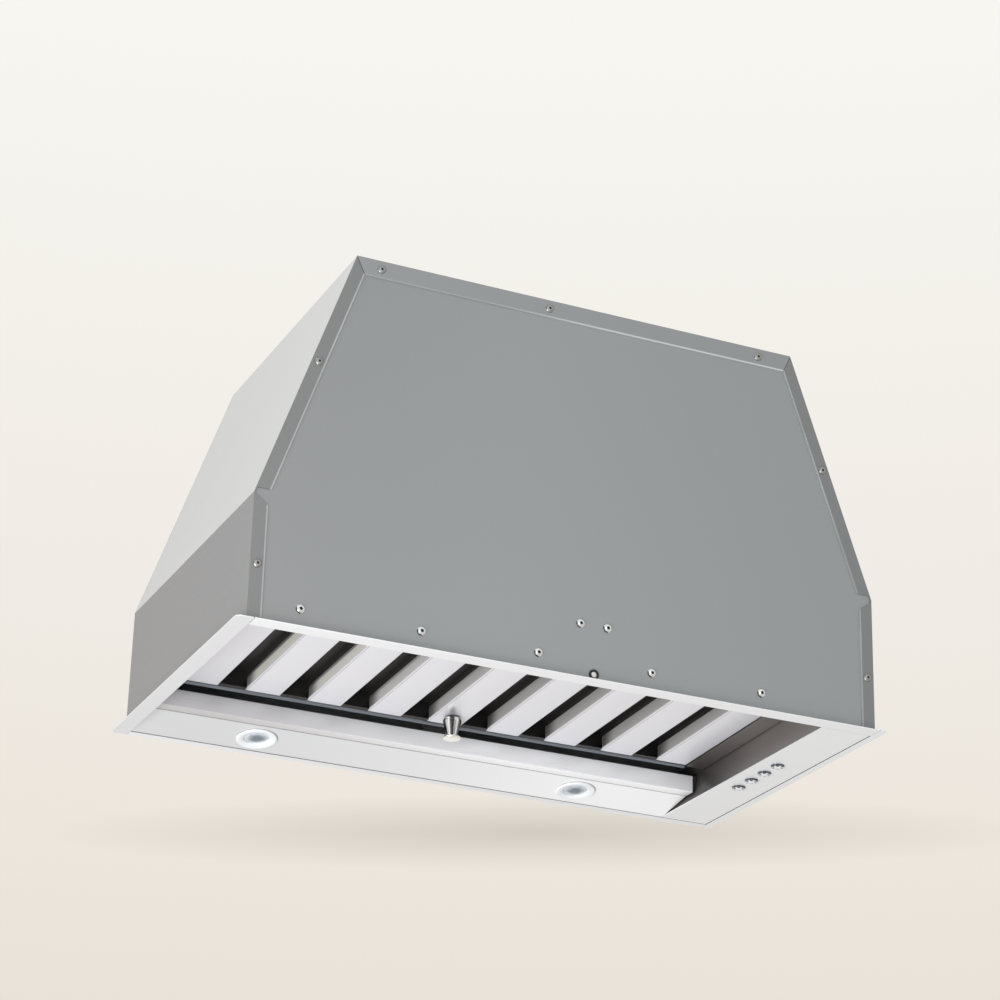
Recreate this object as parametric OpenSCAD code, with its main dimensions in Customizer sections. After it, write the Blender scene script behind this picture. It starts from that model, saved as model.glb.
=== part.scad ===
// Built-in range hood insert: a tapered steel box with a baffle filter, a blower and a lamp strip.
// Modules draw in the trim frame: x across, y = 0 at the front face, z = 0 at the trim's underside.
// in_place() then moves each one so that the origin is the centre of the hanging holes on top.

/* [Body] */
// Width of the box below the creases
body_w = 700; // [660:5:900]
// Width across the top
top_w = 510; // [420:5:560]
// Height from the trim's underside to the top
body_h = 417; // [405:1:480]
// Depth from the front face to the rear face
body_d = 377; // [372:1:420]
// Height of the crease on the left side
left_crease_h = 134; // [110:1:180]
// Height of the crease on the right side
right_crease_h = 148; // [110:1:180]
// Thickness of the steel sheet
sheet = 1.2; // [0.8:0.1:1.5]
// Width of the side panels' flanges on the front and rear
side_flange_w = 15; // [12:1:20]
// Height of the top panel's flanges on the front and rear
top_flange_h = 20; // [14:1:26]
// Drop of the notch at each crease, below the crease
notch_drop = 12; // [6:1:16]
// Rise of the notch at each crease, above the crease
notch_rise = 5; // [2:1:8]
// Width of the seams between pieces that lie edge to edge
seam = 0.4; // [0.2:0.1:0.6]

/* [Trim] */
// Overhang of the trim at the front
front_lip = 5.6; // [3:0.2:8]
// Overhang of the trim at the rear
rear_lip = 13; // [8:1:16]
// Overhang of the trim at each side
side_lip = 12; // [8:1:16]
// Depth of the front trim behind the front face
front_trim_in = 13; // [11:0.5:14]
// Reach of the left trim inside the left face
left_trim_in = 6; // [4:0.5:10]
// Height of the upright legs of the trim
trim_leg_h = 54; // [53:1:60]
// Step up of the right and rear trim behind their lips
trim_step = 2.4; // [1.8:0.2:3]
// Distance from the right face out to the right lip
right_lip_gap = 3; // [2:0.5:4]
// Distance from the rear face out to the rear lip
rear_lip_gap = 1.5; // [1:0.5:3]
// Width of the groove beside the right and rear lips
groove_w = 1.6; // [0.8:0.1:2]
// Width of the slit between the front trim and the left trim
trim_slit = 1; // [0.4:0.1:1.5]

/* [Controls] */
// Width of the control panel
control_w = 56.6; // [50:0.2:70]
// Lean of the control box wall over its height
wall_lean = 10; // [4:1:14]
// Height of the control box wall
control_wall_h = 46; // [44:1:50]
// Width of the ledge beside the filter
ledge_w = 26; // [18:1:30]
// Radius of a push button
button_r = 7.2; // [5:0.1:8]
// Height of a push button below the panel
button_proud = 3; // [2:0.5:4]
// Travel of a push button
button_travel = 2; // [1:0.5:2]
// Distance between the push buttons
button_pitch = 29; // [24:1:32]
// Distance from the front face to the button nearest the front
first_button_y = 147.7; // [120:1:160]

/* [Lamp strip] */
// Depth of the lamp strip in front of the rear face
lamp_strip_d = 75.5; // [72:0.5:80]
// Height of the lower edge of the strip's front face
lamp_face_low = 9; // [7:0.5:10]
// Height of the strip's front face
lamp_face_h = 19.5; // [17:0.5:20]
// Width of the hem under the strip's front face
lamp_hem_w = 15; // [12:1:18]
// Distance of each lamp from the middle of the filter
lamp_reach = 191; // [150:1:220]
// Outer radius of a lamp's bezel
lamp_r = 22; // [18:0.5:23]
// Radius of a lamp's lens
lamp_lens_r = 14.2; // [9:0.2:15]

/* [Filter] */
// Number of slots in the filter
slot_count = 8; // [6:1:9]
// Width of a slot
slot_w = 31; // [26:0.5:32]
// Width of the ledge left of the filter
left_ledge_w = 22.1; // [14:0.1:26]
// Gap between the filter's rolled edge and the lamp strip
rail_gap = 8.5; // [6:0.5:12]
// Overall thickness of the filter
filter_h = 24; // [22:1:25]
// Height of a slat's side walls
slat_wall_h = 15; // [10:1:17]
// Slope of the filter down to the rear, in degrees
filter_tilt = 1.75; // [1:0.05:2]
// Distance from the front face to the filter's pivot
pivot_y = 20; // [19:0.5:22]
// Height of the filter's face below the pivot
filter_low = 41.2; // [40:0.2:42]
// Height of the pivot above the filter's face
pivot_rise = 5; // [4.5:0.5:6]
// Radius of the filter's pivot pins
pivot_r = 2.5; // [2:0.1:3]
// Distance of the knob's axis in front of the filter's rear wall
knob_in = 27.4; // [24:0.2:60]
// Radius of the knob's shoulder
knob_r = 10.1; // [8:0.1:12]
// Height of the knob
knob_h = 25.5; // [20:0.5:26]
// Radius of the knob's neck
knob_neck_r = 5.9; // [4:0.1:7]
// Radius of the disc at the knob's end
knob_disc_r = 9.8; // [8:0.1:11]
// Thickness of the disc at the knob's end
knob_disc_t = 2.8; // [2:0.1:4]

/* [Blower] */
// Largest radius of the scroll
scroll_r = 122; // [118:1:124]
// Smallest radius of the scroll
scroll_min_r = 92; // [90:1:96]
// Width of the scroll
scroll_w = 112; // [100:1:120]
// Height of the blower's axis
blower_z = 215; // [205:1:225]
// Outer radius of the wheel
wheel_r = 82; // [70:1:86]
// Length of the wheel's blades
blade_l = 84; // [70:1:86]
// Number of blades
blade_count = 36; // [20:1:44]
// Radius of the motor's shaft
shaft_r = 4; // [3:0.5:5]
// Radius of the motor
motor_r = 52; // [40:1:56]
// Length of the motor
motor_l = 92; // [70:1:110]

/* [Duct] */
// Outer radius of the duct collar
collar_r = 74.5; // [74:0.5:78]
// Height of the duct collar
collar_h = 50; // [40:1:55]
// Distance from the front face to the collar's centre
collar_y = 205; // [200:1:215]
// Thickness of the collar and damper sheet
thin_sheet = 0.8; // [0.6:0.1:1]
// Radius of the damper pin
damper_pin_r = 2; // [1.5:0.1:3]

/* [Fasteners] */
// Radius of a flange screw's head
screw_head_r = 4.4; // [3.5:0.1:5]
// Height of a flange screw's head
screw_head_h = 2.4; // [1.5:0.1:3]
// Radius of a flange screw's shank
screw_r = 1.6; // [1.3:0.1:2]
// Radius of a rivet's head
rivet_head_r = 4.8; // [4:0.1:5]
// Height of a rivet's head
rivet_head_h = 2.5; // [1.5:0.1:3]
// Radius of a rivet's shank
rivet_r = 2; // [1.5:0.1:2.4]
// Distance of the first rivet in the lower row from the left face
rivet_left_in = 54.6; // [40:0.2:80]
// Distance of the last rivet in the lower row from the right face
rivet_right_in = 135.4; // [100:0.2:150]
// Height of the lower row of rivets
rivet_z = 20.5; // [16:0.5:24]
// Radius of a hanging hole
hang_hole_r = 3.25; // [2.5:0.25:4.5]
// Distance between the hanging holes from left to right
hang_x = 400; // [360:5:400]
// Distance between the hanging holes from front to rear
hang_y = 250; // [240:5:280]

/* [Hidden] */

$fn = 48;
steel = "#c9cbce";
satin = "#9a9d9f";
grey_steel = "#a5a5a3";
zinc = "#b4b7b9";
dark = "#3a3a3b";

// Half widths, and the faces that the sheets lie on
half_w = body_w / 2;
half_top = top_w / 2;
front_leg_y = 2 * sheet;
rear_leg_y = body_d - 3 * sheet;
panel_gap = 0.3;
overrun = 1;
left_in_x = -half_w + left_trim_in;
right_lip_x = half_w + right_lip_gap;
rear_lip_y = body_d + rear_lip_gap;
control_out_x = right_lip_x - groove_w;
control_x = control_out_x - control_w;
step_top = trim_step + sheet;
screw_fit = 0.1;

// Filter sizes
ledge_gap = 1.6;
filter_left_x = left_in_x + left_ledge_w + ledge_gap;
filter_right_x = control_x + wall_lean - ledge_w - ledge_gap;
filter_w = filter_right_x - filter_left_x;
filter_x = (filter_left_x + filter_right_x) / 2;
slat_w = (filter_w - slot_count * slot_w) / (slot_count + 1);
slot_pitch = slot_w + slat_w;
filter_front = 6;
filter_d = body_d - lamp_strip_d - rail_gap - pivot_y + filter_front;
pivot_z = filter_low + pivot_rise;
slat_sheet = 1;
frame_sheet = 1.2;
frame_flange_w = 5;
rail_r = 2.8;
filter_back = filter_d - filter_front - 2 * rail_r;
rear_flange_w = 8.4;
slat_end_gap = 3.2;
knob_y = filter_back - knob_in;
trough_gap = 7;
trough_low = 6;
pin_out = 7;
pin_collar_t = 0.5;
pivot_fit = 0.06;
bracket_t = 2;
bracket_gap = 1;
tongue_w = 12;
tongue_t = 2;
spindle_r = 3;
spindle_fit = 0.06;
tongue_gap = 1;
tongue_z = filter_h - pivot_rise + tongue_gap;
keeper_w = 30;
keeper_fit = 0.4;

// Lamp strip sizes
lamp_y = body_d - lamp_strip_d;
lamp_front_y = lamp_y + lamp_hem_w + sheet;
lamp_rear_y = rear_lip_y - groove_w;
lamp_front_z = lamp_face_low;
lamp_tilt = atan(lamp_front_z / (lamp_rear_y - lamp_front_y));
lamp_panel_l = norm([lamp_front_z, lamp_rear_y - lamp_front_y]);
lamp_right_x = control_x - seam;
lamp_left_x = left_in_x + seam;
lamp_barrel_r = lamp_r - 4;
lamp_barrel_h = 7;
lamp_body_h = 16;
cap_gap = 1.2;
tongue_lap = 8.5;
tongue_l = lamp_y + tongue_lap - pivot_y - knob_y;

// Control sizes
wall_foot_w = 8;
wall_groove_w = 1.5;
guide_z = 6;
guide_t = 1.2;
guide_w = 25;
guide_end = 20;
post_r = 2.5;
chip_h = 6;
chip_l = 15;
chip_shares = [0.25, 0.5, 0.75];
stem_r = 2.5;
stem_fit = 0.08;
button_fit = 0.3;
notch_count = 6;
notch_r = 1.4;
stem_out = 1.8;
switch_gap = 0.3;
switch_h = 4.5;
stem_top_z = guide_z + guide_t + stem_out;
switch_z = stem_top_z + button_travel + switch_gap;
board_z = switch_z + switch_h;
board_t = 1.6;
button_place_share = 0.39;
button_x = control_x + control_w * button_place_share;

// Blower sizes
scroll_turn = 300;
collar_in_r = collar_r - thin_sheet;
outlet_half_y = 47;
blower_y = collar_y - scroll_r + outlet_half_y;
outlet_in_y = collar_y - outlet_half_y;
inlet_r = 66;
mouth_r = 6;
mouth_lip_w = 8;
wheel_gap = 8;
hub_r = 12;
hub_l = 26;
shaft_fit = 0.05;
bearing_r = 12;

// Fastener places, on the front and rear faces
side_screw_z = 288;
low_screw_z = 59;
top_screw_left_in = 27.4;
top_screw_mid_x = -36.1;
top_screw_right_in = 40.4;
top_screw_xs = [top_screw_left_in - half_top, top_screw_mid_x, half_top - top_screw_right_in];
rivet_count = 5;
first_rivet_x = rivet_left_in - half_w;
rivet_pitch = (body_w - rivet_left_in - rivet_right_in) / (rivet_count - 1);
rivet_core_r = 1.4;
pair_rivets = [[6, 60], [36.5, 60]];
grommet_x = 21.5;
grommet_z = 7.5;
grommet_r = 5.5;

function unit(v) = v / norm(v);
function left_of(v) = [-v[1], v[0]];
// Offset direction at point i of a bent sheet's path, mitred at the bends
function path_normal(p, i) =
    i == 0 ? left_of(unit(p[1] - p[0])) :
    i == len(p) - 1 ? left_of(unit(p[i] - p[i - 1])) :
    let (a = left_of(unit(p[i] - p[i - 1])), b = left_of(unit(p[i + 1] - p[i]))) (a + b) / (1 + a * b);
// Outline of a sheet of thickness t whose visible face follows path p
function sheet_outline(p, t) =
    concat(p, [for (i = [len(p) - 1 : -1 : 0]) p[i] + t * path_normal(p, i)]);
// x of the slanted side at height z, drawn in by an inset measured square to the side
function slant_x(crease_h, inset, z) =
    let (rise = body_h - crease_h, run = half_w - half_top)
    half_w - (z - crease_h) * run / rise - inset * norm([rise, run]) / rise;
// Height at which the inset slant meets the inset lower wall
function inset_crease(crease_h, inset) =
    let (rise = body_h - crease_h, run = half_w - half_top)
    crease_h - inset * (norm([rise, run]) - rise) / run;
function arc(centre, r, a0, a1, steps) =
    [for (i = [0 : steps]) let (a = a0 + (a1 - a0) * i / steps) centre + r * [cos(a), sin(a)]];

module in_place() {
    translate([0, -body_d / 2, -body_h]) children();
}

// A plate in the x-z plane from y0 to y0 + t
module plate_xz(points, y0, t) {
    translate([0, y0 + t, 0]) rotate([90, 0, 0]) linear_extrude(t) polygon(points);
}

// A bar along x from x0, from an outline in the y-z plane
module bar_x(points, x0, length) {
    translate([x0, 0, 0]) rotate([90, 0, 90]) linear_extrude(length) polygon(points);
}

module rod_y(r, x, y0, z, length) {
    translate([x, y0 + length, z]) rotate([90, 0, 0]) cylinder(r = r, h = length);
}

module rod_x(r, x0, y, z, length) {
    translate([x0, y, z]) rotate([0, 90, 0]) cylinder(r = r, h = length);
}

module block(low, high) {
    translate(low) cube(high - low);
}

// The filter's own frame: x from its middle, y back from the pivot, z square to its face
module in_filter() {
    translate([filter_x, pivot_y, pivot_z]) rotate([-filter_tilt, 0, 0]) children();
}

// The lamp panel's own frame: y down its slope from its front edge, z square to it
module in_lamp_panel() {
    translate([filter_x, lamp_front_y, lamp_front_z]) rotate([-lamp_tilt, 0, 0]) children();
}

// Places of the seven screws in one face's flanges, as [x, z]
function flange_screw_places() = concat(
    [[-slant_x(left_crease_h, side_flange_w / 2, side_screw_z), side_screw_z],
     [slant_x(right_crease_h, side_flange_w / 2, side_screw_z), side_screw_z],
     [-(half_w - side_flange_w / 2), low_screw_z],
     [half_w - side_flange_w / 2, low_screw_z]],
    [for (x = top_screw_xs) [x, body_h - top_flange_h / 2]]);

function rivet_places() = concat(
    [for (i = [0 : rivet_count - 1]) [first_rivet_x + i * rivet_pitch, rivet_z]], pair_rivets);

// Holes for the flange screws, through whatever lies between the two depths
module flange_screw_holes(y0, length) {
    for (p = flange_screw_places()) rod_y(screw_r + screw_fit, p[0], y0, p[1], length);
}

// A low domed head of radius r and height h that grows towards -y from y = 0
module dome_y(r, h) {
    ball_r = (r * r + h * h) / (2 * h);
    intersection() {
        translate([0, ball_r - h, 0]) sphere(r = ball_r, $fn = 64);
        rod_y(r, 0, -h - overrun, 0, h + overrun);
    }
}

// A domed screw with a six-sided recess, its head's seat at y = 0
module flange_screw(shank_l) {
    difference() {
        dome_y(screw_head_r, screw_head_h);
        translate([0, -screw_head_h / 2, 0]) rotate([90, 0, 0])
            cylinder(r = screw_r, h = screw_head_h, $fn = 6);
    }
    rod_y(screw_r, 0, 0, 0, shank_l);
}

module flange_pieces(crease_h, y0, low_z) {
    corner_z = body_h - sheet - seam;
    inner_z = body_h - top_flange_h - seam;
    // Lower flange, chamfered towards the crease
    plate_xz([[half_w, low_z], [half_w, crease_h - sheet],
        [half_w - side_flange_w, crease_h - sheet - notch_drop],
        [half_w - side_flange_w, low_z]], y0, sheet);
    // Upper flange, mitred at the top corner
    plate_xz([[slant_x(crease_h, 0, crease_h + notch_rise), crease_h + notch_rise],
        [slant_x(crease_h, 0, corner_z), corner_z],
        [slant_x(crease_h, side_flange_w, inner_z), inner_z],
        [slant_x(crease_h, side_flange_w, crease_h + notch_rise), crease_h + notch_rise]], y0, sheet);
}

// The right-hand side panel: a bent wall with flanges folded over the front and the rear
module side_panel(crease_h, low_z) {
    wall = [[half_w, low_z], [half_w, crease_h],
        [slant_x(crease_h, 0, body_h - sheet), body_h - sheet]];
    plate_xz(sheet_outline(wall, sheet), 0, body_d);
    flange_pieces(crease_h, 0, sheet);
    flange_pieces(crease_h, body_d - sheet, step_top);
}

module left_side_panel() {
    color(steel) difference() {
        mirror([1, 0, 0]) side_panel(left_crease_h, sheet);
        flange_screw_holes(-overrun, body_d + 2 * overrun);
    }
}

module right_side_panel() {
    color(steel) difference() {
        side_panel(right_crease_h, step_top);
        flange_screw_holes(-overrun, body_d + 2 * overrun);
    }
}

module top_flange(y0) {
    inner_z = body_h - top_flange_h;
    plate_xz([[-half_top, body_h], [half_top, body_h],
        [slant_x(right_crease_h, side_flange_w, inner_z) - seam, inner_z],
        [seam - slant_x(left_crease_h, side_flange_w, inner_z), inner_z]], y0, sheet);
}

module hang_holes() {
    for (sx = [-1, 1], sy = [-1, 1])
        translate([sx * hang_x / 2, body_d / 2 + sy * hang_y / 2, body_h - sheet - overrun])
            cylinder(r = hang_hole_r, h = sheet + 2 * overrun);
}

supply_x = 110;
supply_y = 50;
supply_r = 11;
collar_screw_r = 1.6;
collar_flange_w = 14;
collar_screw_ring = collar_r + collar_flange_w / 2;

module collar_screw_holes() {
    for (a = [45 : 90 : 315])
        translate([0, collar_y, body_h - sheet - overrun]) rotate([0, 0, a])
            translate([collar_screw_ring, 0, 0])
            cylinder(r = collar_screw_r + screw_fit, h = 3 * sheet + 2 * overrun);
}

module top_panel() {
    color(steel) difference() {
        union() {
            block([-half_top, 0, body_h - sheet], [half_top, body_d, body_h]);
            top_flange(0);
            top_flange(body_d - sheet);
        }
        translate([0, collar_y, body_h - sheet - overrun])
            cylinder(r = collar_in_r, h = sheet + 2 * overrun, $fn = 96);
        translate([supply_x, supply_y, body_h - sheet - overrun])
            cylinder(r = supply_r, h = sheet + 2 * overrun);
        hang_holes();
        collar_screw_holes();
        flange_screw_holes(-overrun, body_d + 2 * overrun);
    }
}

// Six-cornered plate that fills the profile inside the side walls
module profile_plate(y0, low_z) {
    gap = sheet + panel_gap;
    top_z = body_h - sheet - panel_gap;
    plate_xz([[-(half_w - gap), low_z], [half_w - gap, low_z],
        [half_w - gap, inset_crease(right_crease_h, gap)],
        [slant_x(right_crease_h, gap, top_z), top_z],
        [-slant_x(left_crease_h, gap, top_z), top_z],
        [-(half_w - gap), inset_crease(left_crease_h, gap)]], y0, sheet);
}

module rivet_holes(y0, length) {
    for (p = rivet_places()) rod_y(rivet_r + screw_fit, p[0], y0, p[1], length);
}

module grommet_hole(y0, length) {
    rod_y(grommet_barrel_r + screw_fit, grommet_x, y0, grommet_z, length);
}

grommet_barrel_r = 4.2;
grommet_bore_r = 3.1;
grommet_lip = 1.5;

module front_panel() {
    color(satin) difference() {
        profile_plate(sheet, sheet);
        flange_screw_holes(0, body_d / 2);
        rivet_holes(0, front_leg_y + overrun);
        grommet_hole(0, front_leg_y + overrun);
    }
}

module rear_panel() {
    color(satin) difference() {
        profile_plate(body_d - 2 * sheet, step_top);
        flange_screw_holes(body_d / 2, body_d / 2);
    }
}

module front_trim() {
    leg_x = left_in_x + trim_slit;
    color(steel) difference() {
        union() {
            block([leg_x, -front_lip, 0], [right_lip_x - seam, front_trim_in, sheet]);
            block([leg_x, front_leg_y, 0], [-leg_x, front_leg_y + sheet, trim_leg_h]);
        }
        rivet_holes(0, 2 * front_leg_y);
        grommet_hole(0, 2 * front_leg_y);
    }
}

trim_corner_r = 5.5;
leg_end_gap = 2 * sheet + seam;

module left_trim() {
    color(steel) {
        difference() {
            block([-half_w - side_lip, -front_lip, 0], [left_in_x, body_d + rear_lip, sheet]);
            for (corner = [[-front_lip, 0], [body_d + rear_lip, 1]])
                translate([-half_w - side_lip, corner[0], -overrun]) mirror([0, corner[1], 0])
                    corner_cut(trim_corner_r, sheet + 2 * overrun);
        }
        block([-half_w + sheet, leg_end_gap, 0], [-half_w + 2 * sheet, body_d - leg_end_gap, trim_leg_h]);
    }
}

// What is taken off a corner at the origin to round it
module corner_cut(r, h) {
    difference() {
        translate([-overrun, -overrun, 0]) cube([r + overrun, r + overrun, h]);
        translate([r, r, -overrun]) cylinder(r = r, h = h + 2 * overrun);
    }
}

module right_trim() {
    lip_out = half_w + side_lip;
    web_y = front_leg_y + sheet + seam;
    color(steel) {
        difference() {
            block([right_lip_x, -front_lip, 0], [lip_out, body_d + rear_lip, sheet]);
            for (corner = [[-front_lip, 0], [body_d + rear_lip, 1]])
                translate([lip_out, corner[0], -overrun]) mirror([1, 0, 0]) mirror([0, corner[1], 0])
                    corner_cut(trim_corner_r, sheet + 2 * overrun);
        }
        plate_xz([[right_lip_x, 0], [right_lip_x + sheet, 0], [right_lip_x + sheet, step_top],
            [half_w - 2 * sheet, step_top], [half_w - 2 * sheet, trim_step], [right_lip_x, trim_step]],
            web_y, rear_leg_y - seam - web_y);
        block([half_w - 2 * sheet, web_y, trim_step],
            [half_w - sheet, rear_leg_y - seam, trim_leg_h]);
    }
}

module rear_trim() {
    color(steel) {
        block([left_in_x + seam, rear_lip_y, 0], [right_lip_x - seam, body_d + rear_lip, sheet]);
        block([left_in_x + seam, rear_lip_y, 0], [right_lip_x - seam, rear_lip_y + sheet, step_top]);
        block([left_in_x + seam, rear_leg_y, trim_step], [right_lip_x - seam, rear_lip_y + sheet, step_top]);
        block([left_in_x + seam, rear_leg_y, trim_step],
            [-left_in_x - seam, rear_leg_y + sheet, trim_leg_h]);
    }
}

module front_flange_screws() {
    color(zinc) for (p = flange_screw_places()) translate([p[0], 0, p[1]]) flange_screw(5 * sheet);
}

module rear_flange_screws() {
    color(zinc) for (p = flange_screw_places())
        translate([p[0], body_d, p[1]]) mirror([0, 1, 0]) flange_screw(2 * sheet);
}

// A blind rivet: domed head with the hole its mandrel leaves, shank and set end
module rivet(grip) {
    difference() {
        union() {
            dome_y(rivet_head_r, rivet_head_h);
            rod_y(rivet_r, 0, 0, 0, grip + rivet_r);
            rod_y(1.5 * rivet_r, 0, grip, 0, rivet_r);
        }
        rod_y(rivet_core_r, 0, -rivet_head_h - overrun, 0, rivet_head_h + overrun);
    }
}

module front_rivets() {
    color(zinc) for (p = rivet_places()) translate([p[0], sheet, p[1]]) rivet(2 * sheet);
}

module cable_grommet() {
    color(dark) difference() {
        union() {
            rod_y(grommet_r, grommet_x, sheet - grommet_lip, grommet_z, grommet_lip);
            rod_y(grommet_barrel_r, grommet_x, sheet - grommet_lip, grommet_z, grommet_lip + 2 * sheet);
            rod_y(grommet_r, grommet_x, 3 * sheet, grommet_z, grommet_lip);
        }
        rod_y(grommet_bore_r, grommet_x, -2 * grommet_r, grommet_z, 4 * grommet_r);
    }
}

module grommet_plug() {
    plug_fit = 0.05;
    color("#e6e4de")
        rod_y(grommet_bore_r - plug_fit, grommet_x, sheet - grommet_lip / 2, grommet_z, 4 * sheet);
}

module lamp_housing() {
    face_top = lamp_face_low + lamp_face_h;
    path = [[rear_leg_y - sheet, trim_leg_h - 2 * sheet], [rear_leg_y - sheet, face_top], [lamp_y, face_top],
        [lamp_y, lamp_face_low], [lamp_y + lamp_hem_w, lamp_face_low],
        [lamp_y + lamp_hem_w, lamp_face_low + sheet + seam],
        [lamp_y + lamp_hem_w + 8 * sheet, lamp_face_low + sheet + seam]];
    color(steel) bar_x(sheet_outline(path, sheet), lamp_left_x, lamp_right_x - lamp_left_x);
}

lamp_centre_y = lamp_panel_l / 2;

module lamp_panel() {
    color(steel) in_lamp_panel() difference() {
        block([lamp_left_x - filter_x, 0, 0], [lamp_right_x - filter_x, lamp_panel_l, sheet]);
        for (s = [-1, 1]) translate([s * lamp_reach, lamp_centre_y, -overrun])
            cylinder(r = lamp_barrel_r + screw_fit, h = sheet + 2 * overrun);
    }
}

module lamp_end_cap() {
    top_z = lamp_face_low + lamp_face_h;
    low_z = lamp_face_low + sheet / 2;
    color(dark) plate_xz([[lamp_right_x + seam, low_z], [wall_x(low_z) - cap_gap, low_z],
        [wall_x(top_z) - cap_gap, top_z], [lamp_right_x + seam, top_z]], lamp_y, lamp_hem_w - sheet);
}

bezel_lip = 2;
lens_flange_r = lamp_lens_r + sheet;
lens_fit = 0.1;

// A lamp's bezel: a white ring that dips to the lens, and a barrel through the panel
module lamp_bezel(side) {
    color("#f2f3f2") in_lamp_panel() translate([side * lamp_reach, lamp_centre_y, 0])
        rotate_extrude($fn = 96) polygon([[lamp_lens_r, -bezel_lip / 4], [lamp_r - 2 * bezel_lip, -bezel_lip],
            [lamp_r - bezel_lip / 2, -bezel_lip], [lamp_r, -bezel_lip / 2], [lamp_r, 0],
            [lamp_barrel_r, 0], [lamp_barrel_r, lamp_barrel_h],
            [lamp_barrel_r - sheet, lamp_barrel_h], [lamp_barrel_r - sheet, bezel_lip],
            [lens_flange_r + seam, bezel_lip], [lens_flange_r + seam, sheet], [lamp_lens_r, sheet]]);
}

module left_lamp_bezel() {
    lamp_bezel(-1);
}

module right_lamp_bezel() {
    lamp_bezel(1);
}

// A lamp's lens: bulged towards the room, with a flange behind the bezel
module lamp_lens(side) {
    bulge = sheet + bezel_lip / 2;
    steps = 6;
    color("#8f9aa3") in_lamp_panel() translate([side * lamp_reach, lamp_centre_y, 0])
        rotate_extrude($fn = 96) polygon(concat(
            [for (k = [0 : steps]) let (t = k / steps)
                [(lamp_lens_r - lens_fit) * t, sheet - bulge * (1 - t * t)]],
            [[lens_flange_r, sheet], [lens_flange_r, 2 * bezel_lip], [0, 2 * bezel_lip]]));
}

module left_lamp_lens() {
    lamp_lens(-1);
}

module right_lamp_lens() {
    lamp_lens(1);
}

// The lamp's finned body, in the bezel's barrel behind the lens
module lamp_body(side) {
    body_r = lamp_barrel_r - sheet - seam / 2;
    fin_w = 1.6;
    fin_pitch = 4;
    color(zinc) in_lamp_panel() translate([side * lamp_reach, lamp_centre_y, 2 * bezel_lip]) difference() {
        cylinder(r = body_r, h = lamp_body_h - 2 * bezel_lip);
        for (i = [-3 : 3]) translate([i * fin_pitch - fin_w / 2, -2 * body_r, lamp_body_h / 3])
            cube([fin_w, 4 * body_r, lamp_body_h]);
    }
}

module left_lamp_body() {
    lamp_body(-1);
}

module right_lamp_body() {
    lamp_body(1);
}

function button_ys() = [for (i = [0 : 3]) first_button_y + i * button_pitch];

module control_panel() {
    color(steel) difference() {
        block([control_x, front_trim_in + seam, 0], [control_out_x, lamp_rear_y, sheet]);
        for (y = button_ys()) translate([button_x, y, -overrun])
            cylinder(r = button_r + button_fit, h = sheet + 2 * overrun);
    }
}

// x of the leaning wall's visible face at height z
function wall_x(z) = control_x + seam + wall_lean * (z - sheet) / control_wall_h;

// Everything left of the leaning wall, drawn back from it by a gap
module left_of_wall(gap) {
    plate_xz([[-half_w, 0], [wall_x(0) - gap, 0], [wall_x(body_h) - gap, body_h], [-half_w, body_h]],
        0, body_d);
}

// The sheet beside the opening: a foot on the control panel, a leaning wall, a groove and a ledge
module control_box_wall() {
    y0 = front_trim_in + 2 * seam;
    y1 = rear_leg_y - seam;
    low_z = filter_low / 2;
    path = [[wall_x(low_z) - wall_groove_w, low_z], [wall_x(control_wall_h) - wall_groove_w, control_wall_h],
        [wall_x(control_wall_h), control_wall_h], [wall_x(sheet), sheet], [control_x + wall_foot_w, sheet]];
    color(grey_steel) {
        difference() {
            plate_xz(sheet_outline(path, sheet), y0, y1 - y0);
            intersection() {
                left_of_wall(wall_groove_w / 2);
                in_filter() block([0, -body_d, -body_h], [filter_w, body_d, -pivot_rise]);
            }
        }
        intersection() {
            left_of_wall(wall_groove_w);
            in_filter() block([filter_w / 2 + ledge_gap, 2 * pivot_r + ledge_gap, -pivot_rise],
                [filter_w / 2 + ledge_gap + ledge_w, filter_back, sheet - pivot_rise]);
        }
    }
}

module left_filter_ledge() {
    color(grey_steel) intersection() {
        in_filter() block([-filter_w, 2 * pivot_r + ledge_gap, -pivot_rise],
            [-filter_w / 2 - ledge_gap, filter_d - filter_front, sheet - pivot_rise]);
        block([-half_w + 2 * sheet, 0, 0], [0, body_d, trim_leg_h]);
    }
}

// A push button: notched cap with a low dome, a collar that keeps it in, and a stem
module push_button(i) {
    collar_z = sheet + button_fit;
    dome_h = button_proud / 4;
    color(zinc) translate([button_x, button_ys()[i], 0]) {
        translate([0, 0, dome_h - button_proud]) rotate([90, 0, 0]) dome_y(button_r - 3 * notch_r / 2, dome_h);
        difference() {
            translate([0, 0, dome_h - button_proud])
                cylinder(r = button_r, h = button_proud - dome_h + collar_z + sheet);
            for (k = [0 : notch_count - 1]) rotate([0, 0, k * 360 / notch_count])
                translate([button_r, 0, -button_proud]) cylinder(r = notch_r, h = button_proud);
        }
        translate([0, 0, collar_z]) cylinder(r = button_r + 3 * button_fit, h = sheet);
        translate([0, 0, collar_z]) cylinder(r = stem_r, h = stem_top_z - collar_z);
    }
}

module push_button_1() {
    push_button(0);
}

module push_button_2() {
    push_button(1);
}

module push_button_3() {
    push_button(2);
}

module push_button_4() {
    push_button(3);
}

guide_y0 = first_button_y - guide_end;
guide_y1 = first_button_y + 3 * button_pitch + guide_end;

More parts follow.
